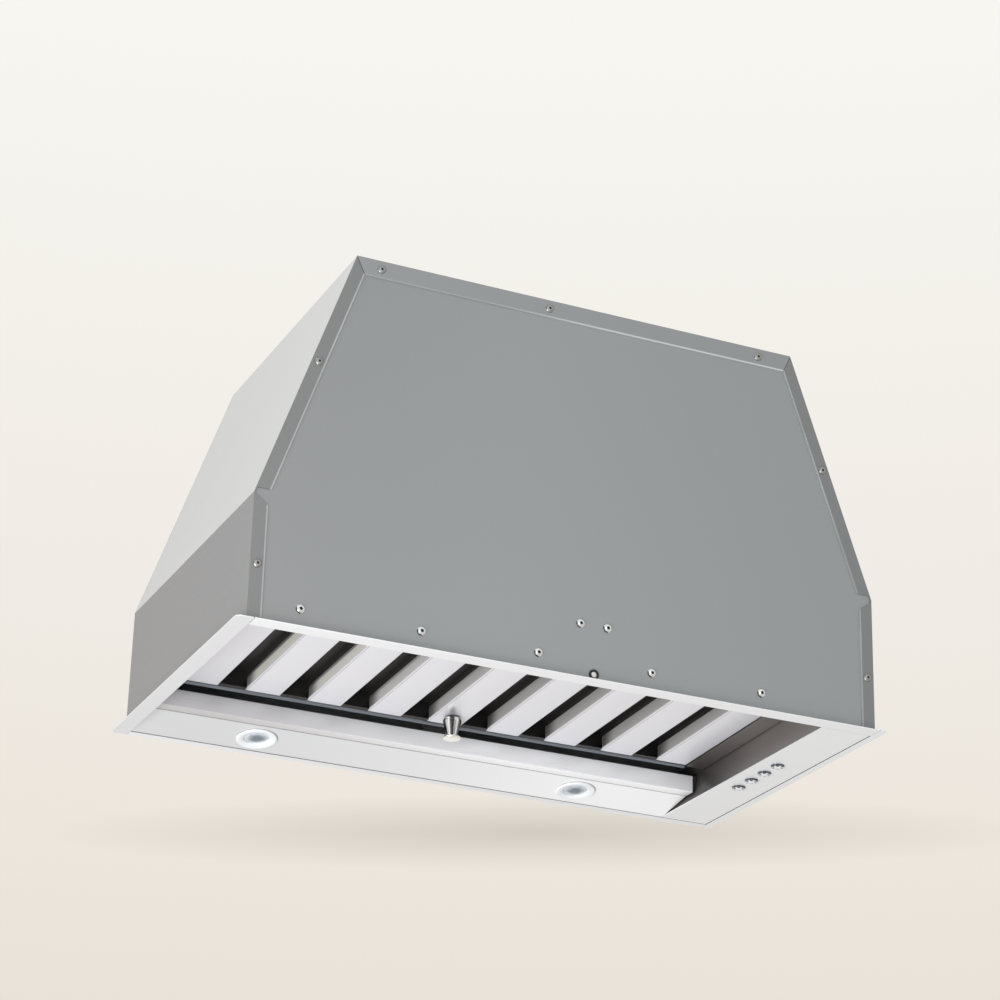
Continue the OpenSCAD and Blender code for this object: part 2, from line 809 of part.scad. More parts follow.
// The channel that guides the stems, with posts that carry the circuit board
module button_guide() {
    x0 = button_x - guide_w / 2;
    x1 = button_x + guide_w / 2;
    color(dark) {
        difference() {
            plate_xz([[x0, sheet], [x0 + guide_t, sheet], [x0 + guide_t, guide_z], [x1 - guide_t, guide_z],
                [x1 - guide_t, sheet], [x1, sheet], [x1, guide_z + guide_t], [x0, guide_z + guide_t]],
                guide_y0, guide_y1 - guide_y0);
            for (y = button_ys()) translate([button_x, y, 0])
                cylinder(r = stem_r + stem_fit, h = 2 * guide_z);
        }
        for (y = [guide_y0 + 2 * post_r, guide_y1 - 2 * post_r], x = [x0 + 2 * post_r, x1 - 2 * post_r])
            translate([x, y, guide_z + guide_t]) cylinder(r = post_r, h = board_z - guide_z - guide_t);
    }
}

module switch_block() {
    half = 2 * stem_r - button_fit;
    color(dark) for (y = button_ys())
        block([button_x - half, y - half, switch_z], [button_x + half, y + half, board_z]);
}

module circuit_board() {
    color("#2f6b46") {
        block([button_x - guide_w / 2, guide_y0, board_z],
            [button_x + guide_w / 2, guide_y1, board_z + board_t]);
        for (share = chip_shares) let (y0 = guide_y0 + share * (guide_y1 - guide_y0))
            block([button_x - guide_w / 4, y0, board_z],
                [button_x + guide_w / 4, y0 + chip_l, board_z + board_t + chip_h]);
    }
}

// The filter's frame: four walls round the slats, a flange in front, one above the slats' rear ends
// and a rolled rear edge
module filter_frame() {
    y0 = -filter_front;
    low = -pivot_rise;
    x1 = filter_w / 2;
    color(steel) in_filter() difference() {
        union() {
            difference() {
                block([-x1, y0, low + slat_sheet], [x1, filter_back, filter_h - pivot_rise]);
                block([-x1 + frame_sheet, y0 + frame_sheet, low - overrun],
                    [x1 - frame_sheet, filter_back - frame_sheet, filter_h]);
            }
            block([-x1, y0, low], [x1, y0 + frame_flange_w, low + slat_sheet]);
            block([-x1, filter_back - rear_flange_w, low + slat_sheet],
                [x1, filter_back, low + 2 * slat_sheet]);
            rod_x(rail_r, -x1, filter_back + rail_r - seam, low + slat_sheet + seam, filter_w);
        }
        rod_x(pivot_r, -filter_w, 0, 0, 2 * filter_w);
    }
}

// The slats: flat faces with tall side walls, seen from below
module filter_slats() {
    y0 = frame_flange_w + seam - filter_front;
    y1 = filter_back - frame_sheet - slat_end_gap;
    low = slat_sheet - pivot_rise;
    color(steel) in_filter() difference() {
        for (i = [0 : slot_count]) {
            x0 = -filter_w / 2 + i * slot_pitch;
            x1 = x0 + slat_w;
            wall_x0 = i == 0 ? x0 + frame_sheet : x0;
            wall_x1 = i == slot_count ? x1 - frame_sheet : x1;
            block([x0, y0, -pivot_rise], [x1, y1, low]);
            for (x = [wall_x0, wall_x1 - slat_sheet])
                block([x, frame_sheet - filter_front, low],
                    [x + slat_sheet, filter_back - rear_flange_w, slat_wall_h - pivot_rise]);
        }
        translate([0, knob_y, -filter_h]) cylinder(r = spindle_r + spindle_fit, h = 2 * filter_h);
    }
}

// The troughs over the slots, their legs hanging inside the slats
module filter_troughs() {
    bend_r = 8;
    half = slot_w / 2 + trough_gap;
    low = trough_low - pivot_rise;
    high = filter_h - pivot_rise - seam;
    y0 = frame_sheet - filter_front;
    path = concat([[half, low]], arc([half - bend_r, high - bend_r], bend_r, 0, 90, 4),
        arc([bend_r - half, high - bend_r], bend_r, 90, 180, 4), [[-half, low]]);
    color(zinc) in_filter() for (i = [0 : slot_count - 1])
        translate([-filter_w / 2 + slat_w + slot_w / 2 + i * slot_pitch, 0, 0])
            plate_xz(sheet_outline(path, slat_sheet), y0, filter_back - frame_sheet - y0);
}

module filter_pivot_pins() {
    color(zinc) in_filter() for (s = [0, 1]) mirror([s, 0, 0]) {
        rod_x(pivot_r, filter_w / 2 - frame_sheet, 0, 0, frame_sheet + pin_out);
        rod_x(1.5 * pivot_r, filter_w / 2, 0, 0, pin_collar_t);
    }
}

// The knob: a rounded shoulder under the slat, a cone down to the neck, and a disc to hold
module filter_knob() {
    shoulder = knob_r / 2;
    disc_z = knob_h - knob_disc_t;
    edge = knob_disc_t / 2;
    color("#dfe2e4") in_filter() translate([0, knob_y, -pivot_rise]) mirror([0, 0, 1])
        rotate_extrude($fn = 64) polygon(concat([[0, 0]],
            arc([knob_r - shoulder, shoulder], shoulder, -90, 0, 6), [[knob_neck_r, disc_z]],
            arc([knob_disc_r - edge, disc_z + edge], edge, -90, 90, 6), [[0, knob_h]]));
}

module pivot_bracket(side) {
    x0 = filter_w / 2 + bracket_gap;
    back_y = front_leg_y + sheet;
    plate_h = trim_leg_h - pivot_z;
    color(zinc) difference() {
        translate([filter_x, 0, 0]) mirror([side, 0, 0]) {
            block([x0, back_y, pivot_z - plate_h], [x0 + bracket_t, pivot_y + 2 * pivot_r, trim_leg_h]);
            block([x0, back_y, pivot_z - plate_h], [x0 + pin_out, back_y + bracket_t, trim_leg_h]);
        }
        rod_x(pivot_r + pivot_fit, filter_x - filter_w, pivot_y, pivot_z, 2 * filter_w);
    }
}

module left_pivot_bracket() {
    pivot_bracket(1);
}

module right_pivot_bracket() {
    pivot_bracket(0);
}

// The latch behind the knob: a spindle through the middle slat and a tongue above the troughs
module latch_tongue() {
    washer_t = 1.2;
    color(zinc) in_filter() translate([0, knob_y, 0]) {
        translate([0, 0, -pivot_rise]) cylinder(r = spindle_r, h = tongue_z + tongue_t + pivot_rise);
        translate([0, 0, slat_sheet + spindle_fit - pivot_rise]) cylinder(r = 2 * spindle_r, h = washer_t);
        translate([0, 0, tongue_z]) cylinder(r = tongue_w / 2, h = tongue_t);
        block([0, -tongue_w / 2, tongue_z], [tongue_l, tongue_w / 2, tongue_z + tongue_t]);
    }
}

// The bracket on the lamp strip that the turned tongue lies on
module latch_keeper() {
    face_top = lamp_face_low + lamp_face_h;
    keeper_top = pivot_z + cos(filter_tilt) * (tongue_z - keeper_fit) - sin(filter_tilt) * (knob_y + tongue_l);
    foot_y = lamp_y + keeper_w / 2;
    path = [[foot_y, face_top], [lamp_y, face_top], [lamp_y, keeper_top], [lamp_y + 4 * sheet, keeper_top]];
    color(zinc) bar_x(sheet_outline(path, -sheet), filter_x - keeper_w / 2, keeper_w);
}

// Outline of the scroll in the y-z plane about the blower's axis
function scroll_radius(a) = scroll_r - (scroll_r - scroll_min_r) * a / scroll_turn;
function scroll_points(grow) =
    [for (a = [0 : 7.5 : scroll_turn]) (scroll_radius(a) + grow) * [cos(a), -sin(a)]];

module scroll_solid(grow, x0, x1, top_z) {
    translate([0, blower_y, blower_z]) bar_x(scroll_points(grow), x0, x1 - x0);
    block([x0, outlet_in_y - grow, blower_z], [x1, collar_y + outlet_half_y + grow, top_z]);
}

module blower_scroll() {
    half = scroll_w / 2;
    color(zinc) difference() {
        scroll_solid(0, -half, half, body_h - sheet);
        scroll_solid(-sheet, sheet - half, half - sheet, body_h);
        rod_x(inlet_r + mouth_r, -half - overrun, blower_y, blower_z, sheet + 2 * overrun);
        rod_x(bearing_r, half - sheet - overrun, blower_y, blower_z, sheet + 2 * overrun);
    }
}

// A rounded mouth in the scroll's open side
module inlet_ring() {
    path = concat([[inlet_r + mouth_r + mouth_lip_w, 0]],
        arc([inlet_r + mouth_r, mouth_r], mouth_r, -90, -180, 6));
    color(zinc) translate([-scroll_w / 2, blower_y, blower_z]) rotate([0, 90, 0])
        rotate_extrude($fn = 96) polygon(sheet_outline(path, thin_sheet));
}

wheel_x0 = -scroll_w / 2 + sheet + wheel_gap;
wheel_x1 = wheel_x0 + blade_l;
blade_d = 15;
blade_bow_share = 0.65;
wheel_ring_w = 4;

// One blade: a forward-curved strip between the wheel's inner and outer radius
module blade() {
    bow = blade_d * blade_bow_share;
    path = [for (k = [0 : 4]) let (t = k / 4) [wheel_r - wheel_ring_w / 2 - blade_d * t, bow * (t * t)]];
    rotate([0, 90, 0]) linear_extrude(blade_l) polygon(sheet_outline(path, thin_sheet));
}

module impeller() {
    color(zinc) translate([wheel_x0, blower_y, blower_z]) {
        for (i = [0 : blade_count - 1]) rotate([i * 360 / blade_count, 0, 0]) blade();
        difference() {
            union() {
                rod_x(wheel_r, blade_l - sheet, 0, 0, sheet);
                rod_x(hub_r, blade_l - hub_l, 0, 0, hub_l);
            }
            rod_x(shaft_r + shaft_fit, 0, 0, 0, 2 * blade_l);
        }
        difference() {
            rod_x(wheel_r, 0, 0, 0, wheel_ring_w);
            rod_x(wheel_r - wheel_ring_w, -overrun, 0, 0, 2 * blade_l);
        }
    }
}

motor_x0 = scroll_w / 2 + bracket_t;
boss_l = 10;

module motor_shaft() {
    color(zinc) rod_x(shaft_r, wheel_x1 - hub_l - shaft_r, blower_y, blower_z,
        motor_x0 + motor_l / 2 - (wheel_x1 - hub_l - shaft_r));
}

module motor_body() {
    color("#54575a") difference() {
        union() {
            rod_x(motor_r, motor_x0, blower_y, blower_z, motor_l);
            rod_x(bearing_r + boss_l / 2, motor_x0 + motor_l, blower_y, blower_z, boss_l);
            rod_x(motor_r + 2 * sheet, motor_x0 + motor_l / 3, blower_y, blower_z, motor_l / 3);
        }
        rod_x(shaft_r + shaft_fit, motor_x0 - overrun, blower_y, blower_z, motor_l / 2 + 2 * overrun);
    }
}

module motor_bracket() {
    color(zinc) difference() {
        union() {
            rod_x(motor_r + 2 * bracket_t, scroll_w / 2, blower_y, blower_z, bracket_t);
            for (a = [30 : 120 : 270]) translate([0, blower_y, blower_z]) rotate([a, 0, 0])
                block([scroll_w / 2, motor_r / 2, -3 * bracket_t],
                    [scroll_w / 2 + bracket_t, scroll_min_r - 4 * bracket_t, 3 * bracket_t]);
        }
        rod_x(bearing_r, scroll_w / 2 - overrun, blower_y, blower_z, 2 * bracket_t);
    }
}

box_x0 = -20;
box_x1 = 63;
box_z0 = 70;
box_z1 = 128;
box_d = 38;
tab_edge = 6;

// The junction box, on the front panel's inner face, with a tab for two of the rivets
module junction_box() {
    back_y = front_leg_y;
    tab_z = trim_leg_h + seam;
    color(zinc) difference() {
        union() {
            block([box_x0, back_y, box_z0], [box_x1, back_y + box_d, box_z1]);
            block([pair_rivets[0][0] - tab_edge, back_y, tab_z],
                [pair_rivets[1][0] + tab_edge, back_y + sheet, box_z0]);
        }
        block([box_x0 + sheet, back_y + sheet, box_z0 + sheet],
            [box_x1 - sheet, back_y + box_d + overrun, box_z1 - sheet]);
        rivet_holes(0, 4 * sheet);
        clamp_hole();
    }
}

clamp_r = 9;
clamp_x = 40;

module clamp_hole() {
    translate([clamp_x, front_leg_y + box_d / 2, box_z1 - 2 * sheet])
        cylinder(r = clamp_r + screw_fit, h = 4 * sheet);
}

module junction_box_cover() {
    y0 = front_leg_y + box_d;
    color(zinc) block([box_x0, y0, box_z0], [box_x1, y0 + sheet, box_z1]);
}

pole_w = 14;

module terminal_block() {
    pole_d = 16;
    pole_h = 18;
    x0 = box_x0 + 4 * sheet;
    y0 = front_leg_y + sheet;
    z0 = box_z0 + sheet;
    color("#e8e6e0") difference() {
        block([x0, y0, z0], [x0 + 3 * pole_w, y0 + pole_d, z0 + pole_h]);
        for (i = [0 : 2]) translate([x0 + (i + 0.5) * pole_w, y0 + pole_d / 2, z0 + pole_h / 3])
            cylinder(r = pole_w / 4, h = pole_h);
    }
}

module cable_clamp() {
    color(dark) translate([clamp_x, front_leg_y + box_d / 2, 0]) difference() {
        union() {
            translate([0, 0, box_z1 - sheet - clamp_r / 2]) cylinder(r = clamp_r, h = 2 * clamp_r);
            translate([0, 0, box_z1]) cylinder(r = clamp_r + 2 * sheet, h = clamp_r / 2, $fn = 6);
        }
        translate([0, 0, box_z1 - 2 * clamp_r]) cylinder(r = clamp_r / 2, h = 6 * clamp_r);
    }
}

driver_x = 145;
driver_z = 84;
driver_w = 90;
driver_h = 32;
driver_d = 26;
driver_tab = 8;

module led_driver() {
    half = driver_w / 2;
    color("#d9d9d6") {
        block([driver_x - half, front_leg_y, driver_z],
            [driver_x + half, front_leg_y + driver_d, driver_z + driver_h]);
        block([driver_x - half - driver_tab, front_leg_y, driver_z],
            [driver_x + half + driver_tab, front_leg_y + 2 * sheet, driver_z + driver_h]);
    }
}

cap_r = 17;
cap_l = 62;
cap_x0 = -130;
cap_z = 100;
cap_y = front_leg_y + cap_r + sheet + seam;

module capacitor() {
    color("#d5d8da") {
        rod_x(cap_r, cap_x0, cap_y, cap_z, cap_l);
        rod_x(cap_r / 2, cap_x0 - cap_r / 2, cap_y, cap_z, cap_r);
    }
}

module capacitor_clip() {
    clip_w = 16;
    x0 = cap_x0 + cap_l / 2 - clip_w / 2;
    color(zinc) difference() {
        union() {
            rod_x(cap_r + seam / 2 + sheet, x0, cap_y, cap_z, clip_w);
            block([x0, front_leg_y, cap_z - 2 * cap_r], [x0 + clip_w, front_leg_y + sheet, cap_z + 2 * cap_r]);
        }
        rod_x(cap_r + seam / 2, x0 - overrun, cap_y, cap_z, clip_w + 2 * overrun);
    }
}

damper_z = body_h + 3 * sheet + 4 * damper_pin_r;
stop_w = 9;

module duct_collar() {
    color(zinc) difference() {
        union() {
            translate([0, collar_y, body_h]) cylinder(r = collar_r, h = collar_h, $fn = 96);
            translate([0, collar_y, body_h]) cylinder(r = collar_r + collar_flange_w, h = sheet, $fn = 96);
        }
        translate([0, collar_y, body_h - overrun])
            cylinder(r = collar_in_r, h = collar_h + 2 * overrun, $fn = 96);
        collar_screw_holes();
        rod_y(damper_pin_r + shaft_fit, 0, collar_y - 2 * collar_r, damper_z, 4 * collar_r);
    }
    // Two stops that the closed flaps lie on
    color(zinc) for (s = [0, 1]) mirror([s, 0, 0]) {
        top = damper_z - thin_sheet / 2 - button_fit;
        block([flap_r - 2 * stop_w / 3, collar_y - stop_w / 2, top - sheet],
            [collar_in_r + thin_sheet / 2, collar_y + stop_w / 2, top]);
    }
}

module collar_screws() {
    color(zinc) for (a = [45 : 90 : 315])
        translate([0, collar_y, body_h + sheet]) rotate([0, 0, a]) translate([collar_screw_ring, 0, 0])
            rotate([-90, 0, 0]) flange_screw(3 * sheet);
}

module damper_pin() {
    color(zinc) rod_y(damper_pin_r, 0, collar_y - collar_r + screw_fit, damper_z, 2 * (collar_r - screw_fit));
}

flap_r = 71;
knuckle_l = 18;
knuckle_r = 3.4;
flap_fit = 0.06;

// A half-round flap with two knuckles on the pin; side 1 is the right one
module damper_flap(side) {
    far = 2.5 * knuckle_l;
    near = 1.2 * knuckle_l;
    knuckle_ys = side == 1 ? [-far, near] : [-near, far];
    color("#aeb2b4") translate([0, collar_y, damper_z]) mirror([side == 1 ? 0 : 1, 0, 0]) difference() {
        union() {
            intersection() {
                translate([0, 0, -thin_sheet / 2]) cylinder(r = flap_r, h = thin_sheet, $fn = 96);
                block([knuckle_r + seam, -flap_r, -thin_sheet], [flap_r, flap_r, thin_sheet]);
            }
            for (y = knuckle_ys) {
                rod_y(knuckle_r, 0, y - knuckle_l / 2, 0, knuckle_l);
                block([0, y - knuckle_l / 2, -thin_sheet / 2],
                    [2 * knuckle_r, y + knuckle_l / 2, thin_sheet / 2]);
            }
        }
        rod_y(damper_pin_r + flap_fit, 0, -flap_r, 0, 2 * flap_r);
    }
}

module left_damper_flap() {
    damper_flap(-1);
}

module right_damper_flap() {
    damper_flap(1);
}

in_place() left_side_panel();
in_place() right_side_panel();
in_place() top_panel();
in_place() front_panel();
in_place() rear_panel();
in_place() front_trim();
in_place() left_trim();
in_place() right_trim();
in_place() rear_trim();
in_place() front_flange_screws();
in_place() rear_flange_screws();
in_place() front_rivets();
in_place() cable_grommet();
in_place() grommet_plug();
in_place() lamp_housing();
in_place() lamp_panel();
in_place() lamp_end_cap();
in_place() left_lamp_bezel();
in_place() right_lamp_bezel();
in_place() left_lamp_lens();
in_place() right_lamp_lens();
in_place() left_lamp_body();
in_place() right_lamp_body();
in_place() control_panel();
in_place() control_box_wall();
in_place() left_filter_ledge();
in_place() push_button_1();
in_place() push_button_2();
in_place() push_button_3();
in_place() push_button_4();
in_place() button_guide();
in_place() switch_block();
in_place() circuit_board();
in_place() filter_frame();
in_place() filter_slats();
in_place() filter_troughs();
in_place() filter_pivot_pins();
in_place() filter_knob();
in_place() left_pivot_bracket();
in_place() right_pivot_bracket();
in_place() latch_tongue();
in_place() latch_keeper();
in_place() blower_scroll();
in_place() inlet_ring();
in_place() impeller();
in_place() motor_shaft();
in_place() motor_body();
in_place() motor_bracket();
in_place() capacitor();
in_place() capacitor_clip();
in_place() junction_box();
in_place() junction_box_cover();
in_place() terminal_block();
in_place() cable_clamp();
in_place() led_driver();
in_place() duct_collar();
in_place() collar_screws();
in_place() damper_pin();
in_place() left_damper_flap();
in_place() right_damper_flap();
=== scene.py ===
import bpy
import bmesh
import math
from mathutils import Matrix, Vector


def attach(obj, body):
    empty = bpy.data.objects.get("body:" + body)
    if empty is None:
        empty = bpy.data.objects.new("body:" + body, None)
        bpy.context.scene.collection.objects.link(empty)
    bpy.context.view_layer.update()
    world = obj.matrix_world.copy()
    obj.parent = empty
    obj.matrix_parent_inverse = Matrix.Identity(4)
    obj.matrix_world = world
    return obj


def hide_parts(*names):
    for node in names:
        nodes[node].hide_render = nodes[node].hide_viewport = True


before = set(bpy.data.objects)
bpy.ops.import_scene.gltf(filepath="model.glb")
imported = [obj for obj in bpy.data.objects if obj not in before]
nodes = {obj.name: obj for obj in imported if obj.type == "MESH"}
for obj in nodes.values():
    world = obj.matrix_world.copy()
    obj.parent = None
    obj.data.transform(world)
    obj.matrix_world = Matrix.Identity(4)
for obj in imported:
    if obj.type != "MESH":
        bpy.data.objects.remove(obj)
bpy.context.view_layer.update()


# Sizes in millimetres, as the part's source has them, in the trim's frame:
# x across, y back from the front face, z up from the trim's underside

MM = 0.001
BODY_W = 700.0
BODY_D = 377.0
BODY_H = 417.0
HALF_DEPTH = BODY_D / 2 * MM
TOP_W = 510.0
LEFT_CREASE_H = 134.0
RIGHT_CREASE_H = 148.0
SHEET = 1.2
SEAM = 0.4
FLANGE_W = 15.0
TOP_FLANGE_H = 20.0
GROOVE_W = 1.6
LEFT_WALL_IN = 6.0
RIGHT_LIP_OUT = 3.0
REAR_LIP_OUT = 1.5
LEFT_IN_X = LEFT_WALL_IN - BODY_W / 2
RIGHT_LIP_X = BODY_W / 2 + RIGHT_LIP_OUT
REAR_LIP_Y = BODY_D + REAR_LIP_OUT
CONTROL_W = 56.6
CONTROL_X = RIGHT_LIP_X - GROOVE_W - CONTROL_W
WALL_LEAN = 10.0
LEDGE_W = 26.0
LEDGE_GAP = 1.6
LEDGE_Z = 39.0
LEFT_LEDGE_W = 22.1
BUTTON_R = 7.2
BUTTON_PROUD = 3.0
BUTTON_X_SHARE = 0.39
BUTTON_NOTCHES = 6
FIRST_BUTTON_Y = 147.7
BUTTON_PITCH = 29.0
LAMP_STRIP_D = 75.5
LAMP_Y = BODY_D - LAMP_STRIP_D
LAMP_FACE_LOW = 9.0
LAMP_FACE_H = 19.5
LAMP_HEM_W = 15.0
LAMP_BACK_H = 54.0
LAMP_REACH = 191.0
LAMP_R = 22.0
LENS_R = 14.2
BEZEL_LIP = 2.0
SLOTS = 8
SLOT_W = 31.0
SLAT_SHEET = 1.0
SLAT_WALL_H = 15.0
SLAT_BEND_R = 1.3
FILTER_H = 24.0
FILTER_FRONT = 6.0
FILTER_TILT = math.radians(1.75)
FILTER_FACE_Z = 41.2
PIVOT_Y = 20.0
PIVOT_RISE = 5.0
PIVOT_Z = FILTER_FACE_Z + PIVOT_RISE
RAIL_R = 2.8
RAIL_GAP = 8.5
REAR_FLANGE_W = 8.4
SLAT_END_GAP = 3.2
FRAME_FLANGE_W = 5.0
FILTER_LEFT = LEFT_IN_X + LEFT_LEDGE_W + LEDGE_GAP
FILTER_RIGHT = CONTROL_X + WALL_LEAN - LEDGE_W - LEDGE_GAP
FILTER_W = FILTER_RIGHT - FILTER_LEFT
FILTER_X = (FILTER_LEFT + FILTER_RIGHT) / 2
FILTER_BACK = LAMP_Y - RAIL_GAP - PIVOT_Y - 2 * RAIL_R
SLAT_W = (FILTER_W - SLOTS * SLOT_W) / (SLOTS + 1)
SLOT_PITCH = SLOT_W + SLAT_W
KNOB_INSET = 27.4
KNOB_Y = FILTER_BACK - KNOB_INSET
KNOB_R = 10.1
KNOB_H = 25.5
KNOB_NECK_R = 5.9
KNOB_DISC_R = 9.8
KNOB_DISC_T = 2.8
KNOB_SEAT_GAP = 0.08
SPINDLE_HOLE_R = 4.0
COLLAR_R = 74.5
COLLAR_Y = 205.0
COLLAR_SCREW_OUT = 7.0
GROMMET_X = 21.5
GROMMET_Z = 7.5


def spot(x, y, z):
    """A point of the trim's frame in the scene, in metres."""
    return Vector((x, y - BODY_D / 2, z - BODY_H)) * MM


def side_x(crease_h, inset, z):
    """How far out a slanted side is at height z, drawn in by an inset square to it."""
    rise, run = BODY_H - crease_h, (BODY_W - TOP_W) / 2
    return BODY_W / 2 - (z - crease_h) * run / rise - inset * math.hypot(rise, run) / rise


TRIM_PLACE = Matrix.Translation(spot(0, 0, 0)) @ Matrix.Scale(MM, 4)
FILTER_PLACE = (Matrix.Translation(spot(FILTER_X, PIVOT_Y, PIVOT_Z)) @ Matrix.Rotation(-FILTER_TILT, 4, "X")
                @ Matrix.Scale(MM, 4))
KNOB_BASE = FILTER_PLACE @ Vector((0, KNOB_Y, -PIVOT_RISE))
LAMP_FRONT_Y = LAMP_Y + LAMP_HEM_W + SHEET
LAMP_REAR_Y = REAR_LIP_Y - GROOVE_W
LAMP_TILT = math.atan(LAMP_FACE_LOW / (LAMP_REAR_Y - LAMP_FRONT_Y))
LAMP_PLACE = (Matrix.Translation(spot(FILTER_X, LAMP_FRONT_Y, LAMP_FACE_LOW))
              @ Matrix.Rotation(-LAMP_TILT, 4, "X") @ Matrix.Scale(MM, 4))
LAMP_MID = math.hypot(LAMP_FACE_LOW, LAMP_REAR_Y - LAMP_FRONT_Y) / 2

# From the hood to the eye in the picture, seen from above
TO_VIEWER = Vector((-0.416, -0.909))


# Nodes and shader maths

class Value:
    """A socket that gives a value, and can be used in a shader's sums."""

    def __init__(self, owner, socket):
        self.owner = owner
        self.socket = socket

    def math(self, operation, *others):
        return self.owner.add("ShaderNodeMath", {"operation": operation}, Value=[self, *others])["Value"]

    def __add__(self, other):
        return self.math("ADD", other)

    __radd__ = __add__

    def __mul__(self, other):
        return self.math("MULTIPLY", other)

    __rmul__ = __mul__

    def __sub__(self, other):
        return self.math("SUBTRACT", other)

    def __rsub__(self, other):
        return (self * -1) + other

    def __truediv__(self, other):
        return self.math("DIVIDE", other)

    def power(self, other):
        return self.math("POWER", other)

    def most(self, other):
        return self.math("MAXIMUM", other)

    def over(self, limit):
        return self.math("GREATER_THAN", limit)

    def smooth(self, low, high):
        """0 below low, 1 above high, eased between."""
        return self.owner.add("ShaderNodeMapRange", {"interpolation_type": "SMOOTHSTEP"}, Value=self,
                              From_Min=low, From_Max=high)["Result"]

    def ease(self, low, high):
        """The same for a length, with its limits in millimetres."""
        return self.smooth(low * MM, high * MM)


def set_stops(ramp, stops):
    while len(ramp.elements) < len(stops):
        ramp.elements.new(0.5)
    for element, (place, colour) in zip(ramp.elements, stops):
        element.position = place
        element.color = colour


class Nodes:
    """A node tree, and the way to put nodes in it."""

    def __init__(self, tree):
        self.tree = tree

    def add(self, kind, settings=(), **inputs):
        """Any node: its settings first, then the values or links of its sockets.

        A list fills the sockets that share one name.
        """
        node = self.tree.nodes.new(kind)
        for name, value in dict(settings).items():
            if name == "stops":
                set_stops(node.color_ramp, value)
            else:
                setattr(node, name, value)
        for name, given in inputs.items():
            slots = [s for s in node.inputs if s.enabled and s.name == name.replace("_", " ")]
            for slot, item in zip(slots, given if isinstance(given, list) else [given], strict=True):
                if isinstance(item, Value):
                    self.tree.links.new(item.socket, slot)
                else:
                    slot.default_value = item
        return {out.name: Value(self, out) for out in node.outputs if out.enabled}


class Shader(Nodes):
    """The node tree of a material or of the world."""

    def __init__(self, tree):
        super().__init__(tree)
        tree.nodes.clear()
        self.coordinates = self.add("ShaderNodeTexCoord")

    def split(self, vector):
        parts = self.add("ShaderNodeSeparateXYZ", Vector=vector)
        return parts["X"], parts["Y"], parts["Z"]

    def mix(self, low, high, share, blend="MIX"):
        return self.add("ShaderNodeMix", {"data_type": "RGBA", "blend_type": blend}, Factor=share, A=low,
                        B=high)["Result"]


class Finish(Shader):
    """A material, and the nodes that make it."""

    def __init__(self, name):
        self.material = bpy.data.materials.new(name)
        self.material.use_nodes = True
        super().__init__(self.material.node_tree)

    def axes(self):
        return self.split(self.coordinates["Object"])

    def noise(self, scale, stretch=(1, 1, 1), detail=3.0, shift=(0, 0, 0), rough=0.5):
        place = self.add("ShaderNodeMapping", Vector=self.coordinates["Object"], Scale=stretch,
                         Location=shift)["Vector"]
        noise = self.add("ShaderNodeTexNoise", Vector=place, Scale=scale, Detail=detail, Roughness=rough)
        return noise["Fac"]

    def varied(self, colour, spread, tone):
        """A colour that grows darker and lighter by a share of itself."""
        return self.mix(shade(colour, 1 - spread), shade(colour, 1 + spread), tone)

    def bump(self, height, depth, strength):
        """Fine relief, with its depth in millimetres."""
        return self.add("ShaderNodeBump", Height=height, Distance=depth * MM, Strength=strength)["Normal"]

    def surface(self, **inputs):
        shader = self.add("ShaderNodeBsdfPrincipled", **inputs)["BSDF"]
        self.add("ShaderNodeOutputMaterial", Surface=shader)
        return self.material


def linear(red, green, blue):
    """A colour in 0-255 steps, as the shader wants it."""
    steps = (red, green, blue)
    return tuple(((c / 255 + 0.055) / 1.055) ** 2.4 if c > 10 else c / 3294.6 for c in steps) + (1.0,)


def shade(colour, share):
    return tuple(c * share for c in colour[:3]) + (1.0,)


# Places on the sheets, for the tones that follow: all are worked out from Object coordinates in metres

def crease_z(x):
    """Height of the crease in the side panel, which isn't the same on the left and the right."""
    return (RIGHT_CREASE_H - LEFT_CREASE_H) * MM * x.over(0) + (LEFT_CREASE_H - BODY_H) * MM


def flange_inset(x, z):
    """How far in from the slanted or upright side edge a point of the front or rear face lies."""
    out = x.math("ABSOLUTE")
    rise, run = crease_z(x) * -1, (BODY_W - TOP_W) / 2 * MM
    length = (rise * rise + run * run).power(0.5)
    slanted = ((z * -run / rise + TOP_W / 2 * MM) - out) * rise / length
    return slanted.math("MINIMUM", BODY_W / 2 * MM - out)


def outer_face(y):
    """1 on the flanges' outer faces, at the front and the rear, and 0 behind them."""
    behind_front = (y + HALF_DEPTH).ease(SHEET - 0.1, SHEET + 0.1)
    at_rear = (y - HALF_DEPTH).ease(-SHEET - 0.1, -SHEET + 0.1)
    return 1 - behind_front * (1 - at_rear)


def lamp_distance(x, y):
    """Distance from the nearer lamp's middle, and how far behind it a point lies."""
    middle = LAMP_PLACE @ Vector((0, LAMP_MID, 0))
    along, back = (x - middle.x).math("ABSOLUTE") - LAMP_REACH * MM, y - middle.y
    return (along * along + back * back).power(0.5), back


def in_filter(y, z):
    """How far behind the pivots and how high over the slats' faces a point is, in the tilted filter."""
    origin = spot(FILTER_X, PIVOT_Y, PIVOT_Z)
    back = (y - origin.y) * math.cos(FILTER_TILT) - (z - origin.z) * math.sin(FILTER_TILT)
    height = (y - origin.y) * math.sin(FILTER_TILT) + (z - origin.z) * math.cos(FILTER_TILT)
    return back, height + PIVOT_RISE * MM


def seen_from_viewer(x, y):
    """How far a point is to the right of the knob and nearer than it, as the picture sees it."""
    east, north = x - KNOB_BASE.x, y - KNOB_BASE.y
    return east * -TO_VIEWER.y + north * TO_VIEWER.x, east * TO_VIEWER.x + north * TO_VIEWER.y


# Tones by place: each gives the share of its tint at a point, and its limits are in millimetres

def to_the_right(start, end):
    return lambda x, y, z: x.ease(start, end)


def to_the_left(start, end, share=1.0):
    return lambda x, y, z: (1 - x.ease(start, end)) * share


